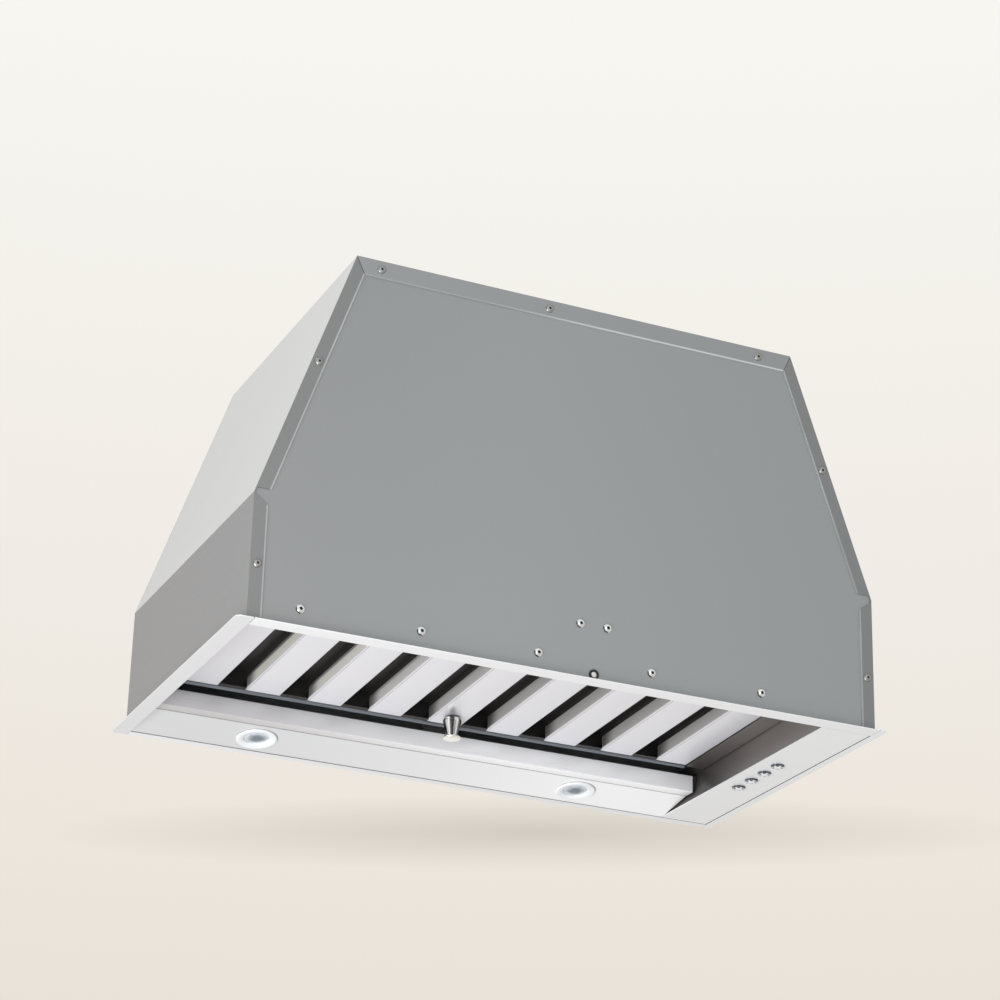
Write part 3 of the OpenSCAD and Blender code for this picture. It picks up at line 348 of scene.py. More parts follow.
def to_the_rear(start, end, share):
    return lambda x, y, z: (y + HALF_DEPTH).ease(start, end) * share


def past_edge(distance):
    """1 where a point is clear of a sheet's outer face."""
    return distance.ease(0.1, 0.3)


# Painted shade in the grooves beside the rear and right lips: the trim's faces above its underside are
# darkened
def rear_groove_shade(x, y, z):
    return past_edge(z + BODY_H * MM) * (1 - past_edge(y + HALF_DEPTH - REAR_LIP_Y * MM))


def right_groove_shade(x, y, z):
    return past_edge(z + BODY_H * MM) * (1 - past_edge(x - RIGHT_LIP_X * MM))


def ledge_painted_light(x, y, z):
    """Painted light: the ledge beside the filter is paler than the wall that leans up to it."""
    fade = 1 - (y + HALF_DEPTH).ease(60, 260)
    return (z + BODY_H * MM).ease(LEDGE_Z - 0.5, LEDGE_Z + 0.5) * fade * 0.8


def lamp_seam_shade(x, y, z):
    """Painted shade along the lamp strip's hem and rear edge, where its seams lie, and a painted shadow
    round each lamp on its near side.
    """
    far, back = lamp_distance(x, y)
    ring = far.ease(LAMP_R - 0.4, LAMP_R) * (1 - far.ease(LAMP_R + 0.6, LAMP_R + 1.6))
    near = 1 - back.ease(-12, 6)
    hem = 1 - (y - LAMP_PLACE.translation.y).ease(0.6, 1.6)
    rear = (y + HALF_DEPTH - LAMP_REAR_Y * MM).ease(-1.8, -0.6) * (1 - x.ease(-100, 350) * 0.5)
    return (ring * near * 0.75).most(hem * 0.4).most(rear * 0.8)


def bend_shade(x, y, z):
    """Painted shade: a soft grey line where each slat's face turns up into the wall on its left."""
    _, height = in_filter(y, z)
    pitches = x / (SLOT_PITCH * MM) + (FILTER_W / 2 - FILTER_X) / SLOT_PITCH
    into_slat = pitches.math("FRACT") * (SLOT_PITCH * MM)
    return into_slat.ease(0.2, 1.1) * (1 - into_slat.ease(1.5, 2.6)) * (1 - height.ease(0.6, 1.6)) * 0.5


def wall_end(x, y, z):
    """The slats' walls lie in shade towards their rear ends."""
    back, height = in_filter(y, z)
    return back.ease(FILTER_BACK - 42, FILTER_BACK - 12) * height.ease(1, 3) * 0.8


def wall_light_and_shade(low, high, right):
    """Painted light and shade on the slats' walls from one height to another, fading out towards the hood's
    other side.
    """
    def tone(x, y, z):
        _, height = in_filter(y, z)
        band = height.ease(low, low + 2) * (1 - height.ease(high - 3, high))
        across = x.ease(-260, 60)
        return band * (across if right else 1 - across) * 0.9
    return tone


def inside_case(x, y, z):
    """Within the filter's walls, where little light comes."""
    across = (x - FILTER_X * MM).math("ABSOLUTE")
    back, height = in_filter(y, z)
    within = 1 - across.ease(FILTER_W / 2 - 0.8, FILTER_W / 2 - 0.5)
    behind = 1 - back.ease(FILTER_BACK - 0.8, FILTER_BACK - 0.5)
    return within * behind * height.ease(0.65, 0.85)


def knob_reflection(x, y, z):
    """Painted reflection: a blurred image of the knob in the slat in front of it, drawn out towards the
    viewer.
    """
    half_w, half_l, middle = 9 * MM, 22 * MM, 18 * MM
    side, nearer = seen_from_viewer(x, y)
    wide, long = side / half_w, (nearer - middle) / half_l
    return (1 - (wide * wide + long * long).power(0.5).smooth(0.1, 1.0)) * 0.8


# Finishes

PANEL = linear(196, 196, 197)
# Painted shade: the front and rear panels' grey, darker than the sides
FRONT_REAR_SHADE = linear(147, 151, 152)
# Painted shade: darker copies of the panel colour for the flanges' outer faces at front and rear
SIDE_FLANGE_SHADE = linear(126, 128, 128)
TOP_FLANGE_SHADE = linear(145, 148, 150)
# Painted highlight along the flanges' edges
FLANGE_HIGHLIGHT = linear(216, 220, 221)
# Painted shade: a darker copy of the panel colour for the side's upright part below the crease
UPRIGHT_SHADE = linear(137, 137, 139)
# Painted shade in the trims' grooves
GROOVE_SHADE = linear(92, 93, 96)
TRIM = linear(236, 237, 239)
SLAT = linear(230, 230, 235)
EVEN_GRAIN = (300, 300, 300)


def grain_along(axis, long_scale=14, fine_scale=900):
    """Noise scales of a grain that runs along one axis."""
    return tuple(long_scale if a == axis else fine_scale for a in "XYZ")


def side_highlight(x, z, cloud):
    """Painted highlight along a side flange's inner edge, stronger and weaker with the sheet's cloud."""
    edge = flange_inset(x, z).ease(FLANGE_W - 2, FLANGE_W - 1)
    return edge * (cloud.smooth(0.3, 0.7) * 0.5 + 0.5) * 0.45


def top_highlight(x, z, cloud):
    """Painted highlight along the top flange's lower edge, brighter on the right."""
    return (1 - z.ease(1 - TOP_FLANGE_H, 2 - TOP_FLANGE_H)) * (x.ease(-120, 50) * 0.6 + 0.15)


def sheet_metal(name, colour, grain, roughness, metallic, blotch=0.05, tints=(), upright=None, flange=None):
    """Brushed or rolled sheet: fine grain along one axis, a slow cloud in tone, and a few faint marks.

    An upright colour, a darker copy painted as shade, holds below the crease, and a flange has its own
    colour, also painted shade, and a painted highlight line.
    """
    m = Finish(name)
    hair = m.noise(1.0, grain, 5.0)
    cloud = m.noise(7.0, detail=4.0, shift=(3.1, 1.7, 0.4))
    smear = m.noise(2.2, (1.0, 1.0, 2.6), 5.0, shift=(0.7, 5.2, 2.3), rough=0.65)
    tone = (hair - 0.5) * 0.10 + (cloud - 0.5) * 2 * blotch + 0.5
    paint = m.varied(colour, 0.10, tone)
    x, y, z = m.axes()
    # Painted shade: below the crease the darker upright colour takes over
    if upright:
        paint = m.mix(m.varied(upright, 0.08, tone), paint, (z - crease_z(x)).ease(-0.8, 0.8))
    if flange:
        flange_shade, highlight_line = flange
        # Painted shade: the flanges' outer faces at front and rear take the flange's darker colour
        face = outer_face(y)
        paint = m.mix(paint, m.varied(flange_shade, 0.06, tone), face)
        # Painted highlight line along the flange's edge
        paint = m.mix(paint, FLANGE_HIGHLIGHT, highlight_line(x, z, cloud) * face)
    for where, tint in tints:
        paint = m.mix(paint, tint, where(x, y, z))
    return m.surface(Base_Color=paint, Metallic=metallic,
                     Roughness=roughness + (hair - 0.5) * 0.16 + smear.smooth(0.45, 0.75) * 0.07,
                     Normal=m.bump(hair * 0.6 + cloud * 0.4, 0.02, 0.5))


def trim_metal(name, axis, colour=TRIM, tints=()):
    return sheet_metal(name, colour, grain_along(axis), 0.36, 0.25, 0.02, tints)


def slat_metal(name, tints):
    return sheet_metal(name, SLAT, grain_along("Y"), 0.34, 0.3, 0.03, tints)


def chrome(name, colour, roughness):
    m = Finish(name)
    fine = m.noise(900.0, detail=2.0)
    cloud = m.noise(60.0)
    return m.surface(Base_Color=m.mix(shade(colour, 0.94), colour, cloud), Metallic=1.0,
                     Roughness=roughness + cloud * 0.06 + fine * 0.02, Normal=m.bump(fine, 0.01, 0.3))


def knob_chrome():
    """Chrome with painted reflections: the two bright and three dark bands that a light studio leaves in
    it.
    """
    m = Finish("knob_chrome")
    x, y, z = m.axes()
    side, nearer = seen_from_viewer(x, y)
    down = KNOB_BASE.z - z
    across = (side / (side * side + nearer * nearer + 1e-9).power(0.5)).math("ABSOLUTE")
    band = across.smooth(0.20, 0.34) * (1 - across.smooth(0.62, 0.80)) * down.ease(1, 4)
    disc = down.ease(KNOB_H - KNOB_DISC_T - 0.6, KNOB_H - KNOB_DISC_T)
    under = down.ease(KNOB_H - 0.3, KNOB_H - 0.1)
    fine = m.noise(900.0, detail=2.0)
    bright, deep = (0.93, 0.92, 0.90, 1), (0.13, 0.125, 0.12, 1)
    return m.surface(Base_Color=m.mix(deep, bright, band.most(disc)), Metallic=1 - under * 0.7,
                     Roughness=0.10 + fine * 0.06, Normal=m.bump(fine, 0.01, 0.3))


def moulded(name, colour, roughness, grain_scale=1500.0):
    m = Finish(name)
    grain = m.noise(grain_scale, detail=2.0)
    cloud = m.noise(40.0)
    return m.surface(Base_Color=m.mix(shade(colour, 0.93), shade(colour, 1.04), cloud),
                     Roughness=roughness + (grain - 0.5) * 0.15, Normal=m.bump(grain, 0.02, 0.5))


def lens_finish():
    """Frosted lens, pale at its rim and a cool grey in the middle."""
    m = Finish("lamp_lens_glass")
    ripple = m.noise(500.0, detail=2.0)
    cloud = m.noise(90.0, detail=2.0)
    x, y, _ = m.axes()
    out = lamp_distance(x, y)[0] / (LENS_R * MM)
    pale = (out + (cloud - 0.5) * 0.5).smooth(0.30, 1.0)
    return m.surface(Base_Color=m.mix(linear(104, 116, 128), linear(214, 220, 225), pale),
                     Roughness=0.16 + ripple * 0.1, Coat_Weight=0.4, Normal=m.bump(ripple, 0.08, 0.5))


finishes = {
    "side": sheet_metal("side_panel_steel", PANEL, grain_along("Y", 12), 0.42, 0.3, upright=UPRIGHT_SHADE,
                        flange=(SIDE_FLANGE_SHADE, side_highlight)),
    "top": sheet_metal("top_panel_steel", PANEL, grain_along("X", 12), 0.42, 0.3,
                       flange=(TOP_FLANGE_SHADE, top_highlight)),
    # Front and rear panels: a grey painted as shade on the faces that look to the front and rear
    "front_rear_shade": sheet_metal("grey_panel_steel", FRONT_REAR_SHADE, grain_along("Z"), 0.45, 0.25, 0.025,
                        [(to_the_left(-330, -20, 0.55), linear(137, 138, 138))]),
    "front_trim": trim_metal("front_trim_steel", "X"),
    # Left trim: a darker copy of the trim colour, painted shade
    "left_trim": trim_metal("left_trim_steel", "Y", linear(221, 222, 224)),
    "rear_trim": trim_metal("rear_trim_steel", "X", tints=[(rear_groove_shade, GROOVE_SHADE)]),
    "right_trim": trim_metal("right_trim_steel", "Y", tints=[(right_groove_shade, GROOVE_SHADE)]),
    "panel": trim_metal("control_panel_steel", "Y"),
    "lamp_panel": trim_metal("lamp_panel_steel", "X",
                             # Painted shade towards the left and painted light towards the right
                             tints=[(to_the_left(-340, 120), linear(214, 215, 217)),
                                    (to_the_right(-50, 240), linear(253, 253, 255)),
                                    # Painted shade at the hem and rear edge, and painted shadow round the
                                    # lamps
                                    (lamp_seam_shade, linear(112, 114, 118))]),
    # Painted reflection of the knob on the slats
    "slat": slat_metal("slat_steel", [(knob_reflection, linear(140, 141, 143)),
                                      # Painted shade along each slat's bend
                                      (bend_shade, linear(140, 141, 144)),
                                      # Painted light and shade on the slats' walls
                                      (wall_light_and_shade(1, 14, False), linear(250, 247, 236)),
                                      (wall_light_and_shade(1, 22, True), linear(188, 185, 181)),
                                      (wall_light_and_shade(11, 22, False), linear(120, 117, 113)),
                                      (wall_end, linear(52, 51, 51))]),
    "case": slat_metal("filter_case_steel", [(inside_case, linear(44, 43, 43))]),
    # Troughs: a near-black colour, painted shade inside the slots
    "trough": sheet_metal("trough_steel", linear(40, 39, 39), grain_along("Y", 16, 700), 0.5, 0.3),
    "wall": sheet_metal("control_wall_steel", linear(136, 131, 129), grain_along("Y", 12), 0.34, 0.5, 0.08,
                        # Painted light on the ledge
                        [(ledge_painted_light, linear(206, 203, 198)),
                         # Painted shade: the wall darkens towards the rear
                         (to_the_rear(140, 310, 0.8), linear(60, 56, 55))]),
    # Lamp strip's face, with painted shade towards the left
    "lamp_face": sheet_metal("lamp_strip_steel", linear(252, 252, 254), grain_along("X", 12), 0.3, 0.2,
                             0.03, [(to_the_left(-340, 120), linear(194, 192, 193))]),
    "zinc": sheet_metal("zinc_sheet", linear(150, 152, 153), EVEN_GRAIN, 0.5, 0.6, 0.18),
    "rail": sheet_metal("rolled_rail_steel", linear(120, 127, 138), grain_along("X"), 0.28, 0.7, 0.03),
    "dark": sheet_metal("shadow_sheet", linear(46, 45, 44), EVEN_GRAIN, 0.6, 0.2),
    "chrome": chrome("polished_chrome", (0.68, 0.67, 0.66, 1), 0.07),
    "knob": knob_chrome(),
    "rivet": chrome("rivet_zinc", (0.82, 0.84, 0.87, 1), 0.22),
    "screw": chrome("screw_zinc", (0.34, 0.35, 0.35, 1), 0.36),
    "core": moulded("rivet_core_shade", linear(40, 42, 46), 0.5),
    "button_face": moulded("button_face_satin", linear(232, 233, 236), 0.35),
    "button_side": chrome("button_side_chrome", (0.16, 0.17, 0.19, 1), 0.25),
    "bezel": moulded("bezel_white", linear(238, 240, 241), 0.35),
    "lens": lens_finish(),
    "rubber": moulded("grommet_rubber", linear(28, 27, 27), 0.6),
    "white": moulded("white_plastic", linear(232, 230, 224), 0.5),
    "black": moulded("black_plastic", linear(32, 32, 33), 0.5),
    "board": moulded("board_lacquer", linear(38, 92, 60), 0.35, 800.0),
    "enamel": moulded("motor_enamel", linear(62, 65, 68), 0.4, 600.0),
}

uses = {
    "side": ["left_side_panel", "right_side_panel"],
    "top": ["top_panel"],
    "front_rear_shade": ["front_panel", "rear_panel"],
    "front_trim": ["front_trim"],
    "left_trim": ["left_trim"],
    "rear_trim": ["rear_trim"],
    "right_trim": ["right_trim"],
    "panel": ["control_panel"],
    "lamp_panel": ["lamp_panel"],
    "slat": ["filter_slats", "filter_frame", "left_filter_ledge"],
    "trough": ["filter_troughs"],
    "wall": ["control_box_wall"],
    "lamp_face": ["lamp_housing"],
    "dark": ["lamp_end_cap", "latch_keeper"],
    "chrome": ["filter_knob", "push_button_1", "push_button_2", "push_button_3", "push_button_4",
               "motor_shaft"],
    "rivet": ["front_flange_screws", "rear_flange_screws", "front_rivets", "collar_screws",
              "filter_pivot_pins", "latch_tongue", "damper_pin"],
    "bezel": ["left_lamp_bezel", "right_lamp_bezel"],
    "lens": ["left_lamp_lens", "right_lamp_lens"],
    "rubber": ["cable_grommet"],
    "white": ["grommet_plug", "terminal_block", "led_driver"],
    "black": ["button_guide", "switch_block", "cable_clamp"],
    "board": ["circuit_board"],
    "enamel": ["motor_body"],
    "zinc": ["left_lamp_body", "right_lamp_body", "left_pivot_bracket", "right_pivot_bracket",
             "blower_scroll", "inlet_ring", "impeller", "motor_bracket", "capacitor", "capacitor_clip",
             "junction_box", "junction_box_cover", "duct_collar", "left_damper_flap", "right_damper_flap"],
}
for finish, names in uses.items():
    for name in names:
        mesh = nodes[name].data
        mesh.materials.clear()
        mesh.materials.append(finishes[finish])


# Making of pieces

def arc(centre, r, start, end, steps):
    """Points of an arc, angles in degrees."""
    turns = (math.radians(start + (end - start) * i / steps) for i in range(steps + 1))
    return [(centre[0] + r * math.cos(a), centre[1] + r * math.sin(a)) for a in turns]


def rounded(path, r, steps=4):
    """A path whose inner corners are turned into arcs of radius r."""
    points = [path[0]]
    for before, here, after in zip(path, path[1:], path[2:]):
        a, b, c = Vector(before), Vector(here), Vector(after)
        into, out = (b - a).normalized(), (c - b).normalized()
        half = into.angle(out) / 2
        reach = min(r * math.tan(half), (b - a).length / 2.1, (c - b).length / 2.1)
        start, end = b - into * reach, b + out * reach
        for i in range(steps + 1):
            t = i / steps
            points.append(tuple(start * (1 - t) ** 2 + b * 2 * t * (1 - t) + end * t * t))
    return points + [path[-1]]


def sheet_outline(path, thick):
    """Closed outline of a sheet whose visible face follows a path; it thickens to the path's left."""
    places = [Vector(p) for p in path]
    back = []
    for i, here in enumerate(places):
        into = (here - places[i - 1]).normalized() if i else (places[1] - here).normalized()
        out = (places[i + 1] - here).normalized() if i < len(places) - 1 else into
        left_in, left_out = Vector((-into.y, into.x)), Vector((-out.y, out.x))
        back.append(here + (left_in + left_out) / (1 + left_in.dot(left_out)) * thick)
    return places + back[::-1]


def bar(bm, outline, low, high, place, axis):
    """A closed outline drawn out along x or y."""
    turn = {"X": lambda p, t: Vector((t, p[0], p[1])), "Y": lambda p, t: Vector((p[0], t, p[1]))}[axis]
    ends = [[bm.verts.new(place @ turn(p, t)) for p in outline] for t in (low, high)]
    skin(bm, ends)


def skin(bm, rings):
    """Faces between each ring of vertices and the next, and one over each end."""
    for low, high in zip(rings, rings[1:]):
        for i in range(len(low)):
            j = (i + 1) % len(low)
            bm.faces.new((low[i], low[j], high[j], high[i]))
    bm.faces.new(rings[0])
    bm.faces.new(rings[-1])


def box(bm, low, high, place):
    """A block with softened edges."""
    edge_r = 0.25
    size = [b - a for a, b in zip(low, high)]
    made = bmesh.ops.create_cube(bm, size=1.0)["verts"]
    for v in made:
        v.co = Vector([a + s * (c + 0.5) for a, s, c in zip(low, size, v.co)])
    edges = list({e for v in made for e in v.link_edges})
    soft = min(edge_r, min(size) / 3)
    cut = bmesh.ops.bevel(bm, geom=edges, offset=soft, segments=2, affect="EDGES", profile=0.5)
    for v in {v for f in cut["faces"] for v in f.verts} | {v for v in made if v.is_valid}:
        v.co = place @ v.co


def vertex_ring(bm, radii, height, place):
    """A ring of vertices, one for each radius, spread evenly over a turn."""
    turns = [math.tau * i / len(radii) for i in range(len(radii))]
    spots = [Vector((r * math.cos(a), r * math.sin(a), height)) for r, a in zip(radii, turns)]
    return [bm.verts.new(place @ p) for p in spots]


def lathe(bm, profile, place, segments):
    """A profile of (radius, height) turned about its own z; a radius of 0 closes it."""
    rings = [vertex_ring(bm, [r] * segments if r else [0], h, place) for r, h in profile]
    pairs = list(zip(rings, rings[1:]))
    if len(rings[0]) > 1:
        pairs.append((rings[-1], rings[0]))
    for low, high in pairs:
        for i in range(segments):
            j = (i + 1) % segments
            corners = [low[i % len(low)], low[j % len(low)], high[j % len(high)], high[i % len(high)]]
            corners = list(dict.fromkeys(corners))
            if len(corners) > 2:
                bm.faces.new(corners)


def from_middle(turn, count):
    """How far a turn is from the middle of the nearest of some equal parts of a circle."""
    return (turn + math.pi / count) % (math.tau / count) - math.pi / count


def smooth_mesh(name, bm, finishes_used=(), angle=38):
    """The finished mesh, with smooth shading between faces that meet at less than an angle in degrees."""
    bmesh.ops.recalc_face_normals(bm, faces=bm.faces)
    mesh = bpy.data.meshes.new(name)
    bm.to_mesh(mesh)
    bm.free()
    for finish in finishes_used:
        mesh.materials.append(finish)
    mesh.shade_smooth()
    mesh.set_sharp_from_angle(angle=math.radians(angle))
    return mesh


def turned(name, profile, place, segments, finishes_used=(), angle=38):
    """The mesh of one profile turned about its own z."""
    bm = bmesh.new()
    lathe(bm, profile, place, segments)
    return smooth_mesh(name, bm, finishes_used, angle)


def in_scene(name, data):
    made = bpy.data.objects.new(name, data)
    bpy.context.scene.collection.objects.link(made)
    return made


def piece(name, mesh, body, stands_for):
    """A finished piece of the hood: it rides on a body and takes the place of a CAD node."""
    made = in_scene(name, mesh)
    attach(made, body)
    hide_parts(stands_for)


def finished_mesh(holder, *helpers):
    """The plain mesh that an object's modifiers make; the object and its helpers are removed."""
    bpy.context.view_layer.update()
    mesh = bpy.data.meshes.new_from_object(holder.evaluated_get(bpy.context.evaluated_depsgraph_get()))
    mesh.name = holder.name
    holder.modifiers.clear()
    for made in (holder, *helpers):
        bpy.data.objects.remove(made)
    return mesh


# Repeats

def growth_tree(name, places, **sizes):
    """Geometry Nodes: a unit piece at each of some places, made real and given its finish."""
    tree = bpy.data.node_groups.new(name, "GeometryNodeTree")
    for title, kind in {**sizes, "Unit": "Object", "Finish": "Material"}.items():
        tree.interface.new_socket(title, in_out="INPUT", socket_type="NodeSocket" + kind)
    tree.interface.new_socket("Made", in_out="OUTPUT", socket_type="NodeSocketGeometry")
    g = Nodes(tree)
    given = g.add("NodeGroupInput")
    unit = g.add("GeometryNodeObjectInfo", Object=given["Unit"])["Geometry"]
    put = g.add("GeometryNodeInstanceOnPoints", Instance=unit, **places(g, given))["Instances"]
    real = g.add("GeometryNodeRealizeInstances", Geometry=put)["Geometry"]
    paint = g.add("GeometryNodeSetMaterial", Geometry=real, Material=given["Finish"])["Geometry"]
    g.add("NodeGroupOutput", Made=paint)
    return tree


def at_places(g, given):
    """The vertices of a given mesh, with each copy turned by chance about one axis."""
    chance = g.add("FunctionNodeRandomValue", {"data_type": "FLOAT_VECTOR"}, Max=given["Turn"],
                   Seed=given["Seed"])
    return {"Points": given["Places"], "Rotation": chance["Value"]}


def along_row(g, given):
    """The points of a straight row."""
    row = g.add("GeometryNodeMeshLine", Count=given["Count"], Start_Location=given["First"],
                Offset=given["Pitch"])
    return {"Points": row["Mesh"]}


COPIES = growth_tree("copies_at_places", at_places, Places="Geometry", Turn="Vector", Seed="Int")
ROW = growth_tree("row_of_pieces", along_row, Base="Geometry", Count="Int", First="Vector", Pitch="Vector")


def grown(name, tree, unit_mesh, places=(), **sizes):
    """The plain mesh that a tree makes of a unit piece."""
    sizes["Unit"] = in_scene(name + "_unit", unit_mesh)
    start = bpy.data.meshes.new(name)
    start.from_pydata([tuple(p) for p in places], [], [])
    holder = in_scene(name, start)
    growth = holder.modifiers.new("growth", "NODES")
    growth.node_group = tree
    for socket in tree.interface.items_tree:
        if socket.in_out == "INPUT" and socket.name in sizes:
            growth[socket.identifier] = sizes[socket.name]
    return finished_mesh(holder, sizes["Unit"])


def joined(name, *meshes):
    """Several meshes as one, each with its own materials kept."""
    bm = bmesh.new()
    kinds = []
    for mesh in meshes:
        first = len(bm.faces)
        bm.from_mesh(mesh)
        bm.faces.ensure_lookup_table()
        for face in bm.faces[first:]:
            face.material_index += len(kinds)
        kinds.extend(mesh.materials)
    return smooth_mesh(name, bm, kinds)


# Fasteners

def dome(r, h, start, steps):
    """Points of a head's dome from an angle to its rim."""
    turns = (math.radians(start + (90 - start) * i / steps) for i in range(steps + 1))
    return [(r * math.sin(t), h * math.cos(t)) for t in turns]


def rivet_mesh():
    """Blind rivet: domed head, the hole that its mandrel leaves, shank and set end, along y."""
    r, h, core, shank, set_r, grip = 4.8, 2.5, 1.4, 2.0, 3.0, 2.4
    hole = [(0, -0.8), (core * 0.86, -0.6), (core, h * 0.7), (core + 0.35, h * 0.99)]
    set_end = [(shank, 0), (shank, -grip), (set_r, -grip - 0.6), (set_r - 0.4, -grip - 1.8),
               (0, -grip - 2.0)]
    place = Matrix.Rotation(math.pi / 2, 4, "X") @ Matrix.Scale(MM, 4)
    return turned("rivet_unit", hole + dome(r, h * 0.96, 22, 8)[1:] + [(r, 0)] + set_end, place, 40)


def socket_screw_mesh(shank_l):
    """Low domed screw with a six-sided socket, its seat at y = 0 and its head towards -y."""
    r, h, socket, shank, point = 4.4, 2.4, 1.6, 1.6, 0.2
    sides, steps = 6, 48
    place = Matrix.Rotation(math.pi / 2, 4, "X") @ Matrix.Scale(MM, 4)
    apart = [from_middle(math.tau * i / steps, sides) for i in range(steps)]
    hexagon = [socket * math.cos(math.pi / sides) / math.cos(a) for a in apart]
    levels = [([0.25 * to_wall for to_wall in hexagon], h * 0.42), (hexagon, h * 0.5), (hexagon, h * 0.84)]
    stem = [(r, 0.0), (shank, 0.0), (shank, -shank_l), (point, -shank_l - 0.3)]
    levels += [([radius] * steps, height) for radius, height in dome(r, h, 30, 7) + stem]
    bm = bmesh.new()
    skin(bm, [vertex_ring(bm, radii, height, place) for radii, height in levels])
    return smooth_mesh("socket_screw_unit", bm, angle=30)


def flange_screw_places():
    upright_z, slanted_z, top_z = 59.0, 288.0, BODY_H - TOP_FLANGE_H / 2
    mid, top_x = FLANGE_W / 2, (27.4 - TOP_W / 2, -36.1, TOP_W / 2 - 40.4)
    sides = [(-side_x(LEFT_CREASE_H, mid, slanted_z), slanted_z),
             (side_x(RIGHT_CREASE_H, mid, slanted_z), slanted_z),
             (mid - BODY_W / 2, upright_z), (BODY_W / 2 - mid, upright_z)]
    return sides + [(x, top_z) for x in top_x]


def shade_cores(mesh, places, core, rim=None):
    """Gives the faces in each head's hollow, and if asked its lower left rim, the dark material: painted
    shade in the hollow and on the rim.
    """
    mesh.materials.append(finishes["core"])
    dark = len(mesh.materials) - 1
    low_left = Vector((-0.8, -0.6))
    for face in mesh.polygons:
        middle = face.center
        near = min(places, key=lambda p: (p - middle).length)
        out = Vector((middle.x - near.x, middle.z - near.z)) / MM
        on_rim = rim and out.length > rim and out.dot(low_left) > 0.6 * out.length
        if out.length < core or on_rim:
            face.material_index = dark


def rivets():
    first, last, row_z, count = 54.6 - BODY_W / 2, BODY_W / 2 - 135.4, 20.5, 5
    pair_x, pair_z = (6.0, 36.5), 60.0
    row = [(first + (last - first) * i / (count - 1), row_z) for i in range(count)]
    places = [spot(x, SHEET, z) for x, z in row + [(x, pair_z) for x in pair_x]]
    mesh = grown("rivets", COPIES, rivet_mesh(), places, Turn=(0.0, math.tau, 0.0), Seed=4,
                 Finish=finishes["rivet"])
    shade_cores(mesh, places, core=1.5, rim=4.1)
    piece("rivets", mesh, "hood_body", "front_rivets")


def flange_screws(name, y, turn, node):
    unit = socket_screw_mesh(2 * SHEET)
    unit.transform(Matrix.Rotation(turn, 4, "Z"))
    places = [spot(x, y, z) for x, z in flange_screw_places()]
    mesh = grown(name, COPIES, unit, places, Turn=(0.0, math.tau, 0.0), Seed=7, Finish=finishes["screw"])
    shade_cores(mesh, places, core=1.6)
    piece(name, mesh, "hood_body", node)


def collar_screws():
    unit = socket_screw_mesh(3 * SHEET)
    unit.transform(Matrix.Rotation(-math.pi / 2, 4, "X"))
    ring = COLLAR_R + COLLAR_SCREW_OUT
    turns = [math.radians(45 + 90 * i) for i in range(4)]
    places = [spot(ring * math.cos(a), COLLAR_Y + ring * math.sin(a), BODY_H + SHEET) for a in turns]
    mesh = grown("duct_screws", COPIES, unit, places, Turn=(0.0, 0.0, math.tau), Seed=2,
                 Finish=finishes["screw"])
    piece("duct_screws", mesh, "hood_body", "collar_screws")


# Filter

def across_filter(x):
    """A step across the filter, in metres of the scene."""
    return FILTER_PLACE.to_3x3() @ Vector((x, 0, 0))


def slat_mesh(name, left_in=0.0, right_in=0.0):
    """One slat: a flat face with rounded bends up into its side walls, and a bare tail."""
    low, top, right = -PIVOT_RISE, SLAT_WALL_H - PIVOT_RISE, SLAT_W - right_in
    path = rounded([(left_in, top), (left_in, low), (right, low), (right, top)], SLAT_BEND_R)
    front, walls_back = FRAME_FLANGE_W + SEAM - FILTER_FRONT, FILTER_BACK - REAR_FLANGE_W
    tail_back = FILTER_BACK - SHEET - SLAT_END_GAP
    tail_in, tail_h, tail_r = 0.3, 0.9, 0.8
    bm = bmesh.new()
    bar(bm, sheet_outline(path, SLAT_SHEET), front, walls_back, FILTER_PLACE, "Y")
    tail = rounded([(left_in + tail_in, low + tail_h), (left_in + tail_in, low), (right - tail_in, low),
                    (right - tail_in, low + tail_h)], tail_r)
    bar(bm, tail, walls_back, tail_back, FILTER_PLACE, "Y")
    return smooth_mesh(name, bm)


def bored_for_spindle(mesh):
    """The mesh with the hole that the latch's spindle turns in."""
    profile = [(0, -2 * PIVOT_RISE), (SPINDLE_HOLE_R, -2 * PIVOT_RISE), (SPINDLE_HOLE_R, 0), (0, 0)]
    place = FILTER_PLACE @ Matrix.Translation((0, KNOB_Y, 0))
    cutter = in_scene("spindle_cutter", turned("spindle_cutter", profile, place, 48))
    holder = in_scene("bored_slat", mesh)
    bore = holder.modifiers.new("bore", "BOOLEAN")
    bore.operation = "DIFFERENCE"
    bore.object = cutter
    return finished_mesh(holder, cutter)


def filter_slats():
    half = SLOTS // 2
    rows = [grown("slats_row", ROW, slat_mesh("slat_unit"), Count=half - 1, Pitch=across_filter(SLOT_PITCH),
                  First=across_filter(first * SLOT_PITCH - FILTER_W / 2), Finish=finishes["slat"])
            for first in (1, half + 1)]
    left, middle, right = (slat_mesh("slat_left", left_in=SHEET), slat_mesh("slat_middle"),
                           slat_mesh("slat_right", right_in=SHEET))
    for mesh, place in ((left, 0), (middle, half), (right, SLOTS)):
        mesh.transform(Matrix.Translation(across_filter(place * SLOT_PITCH - FILTER_W / 2)))
        mesh.materials.append(finishes["slat"])
    mesh = joined("slats", *rows, left, bored_for_spindle(middle), right)
    piece("slats", mesh, "filter", "filter_slats")


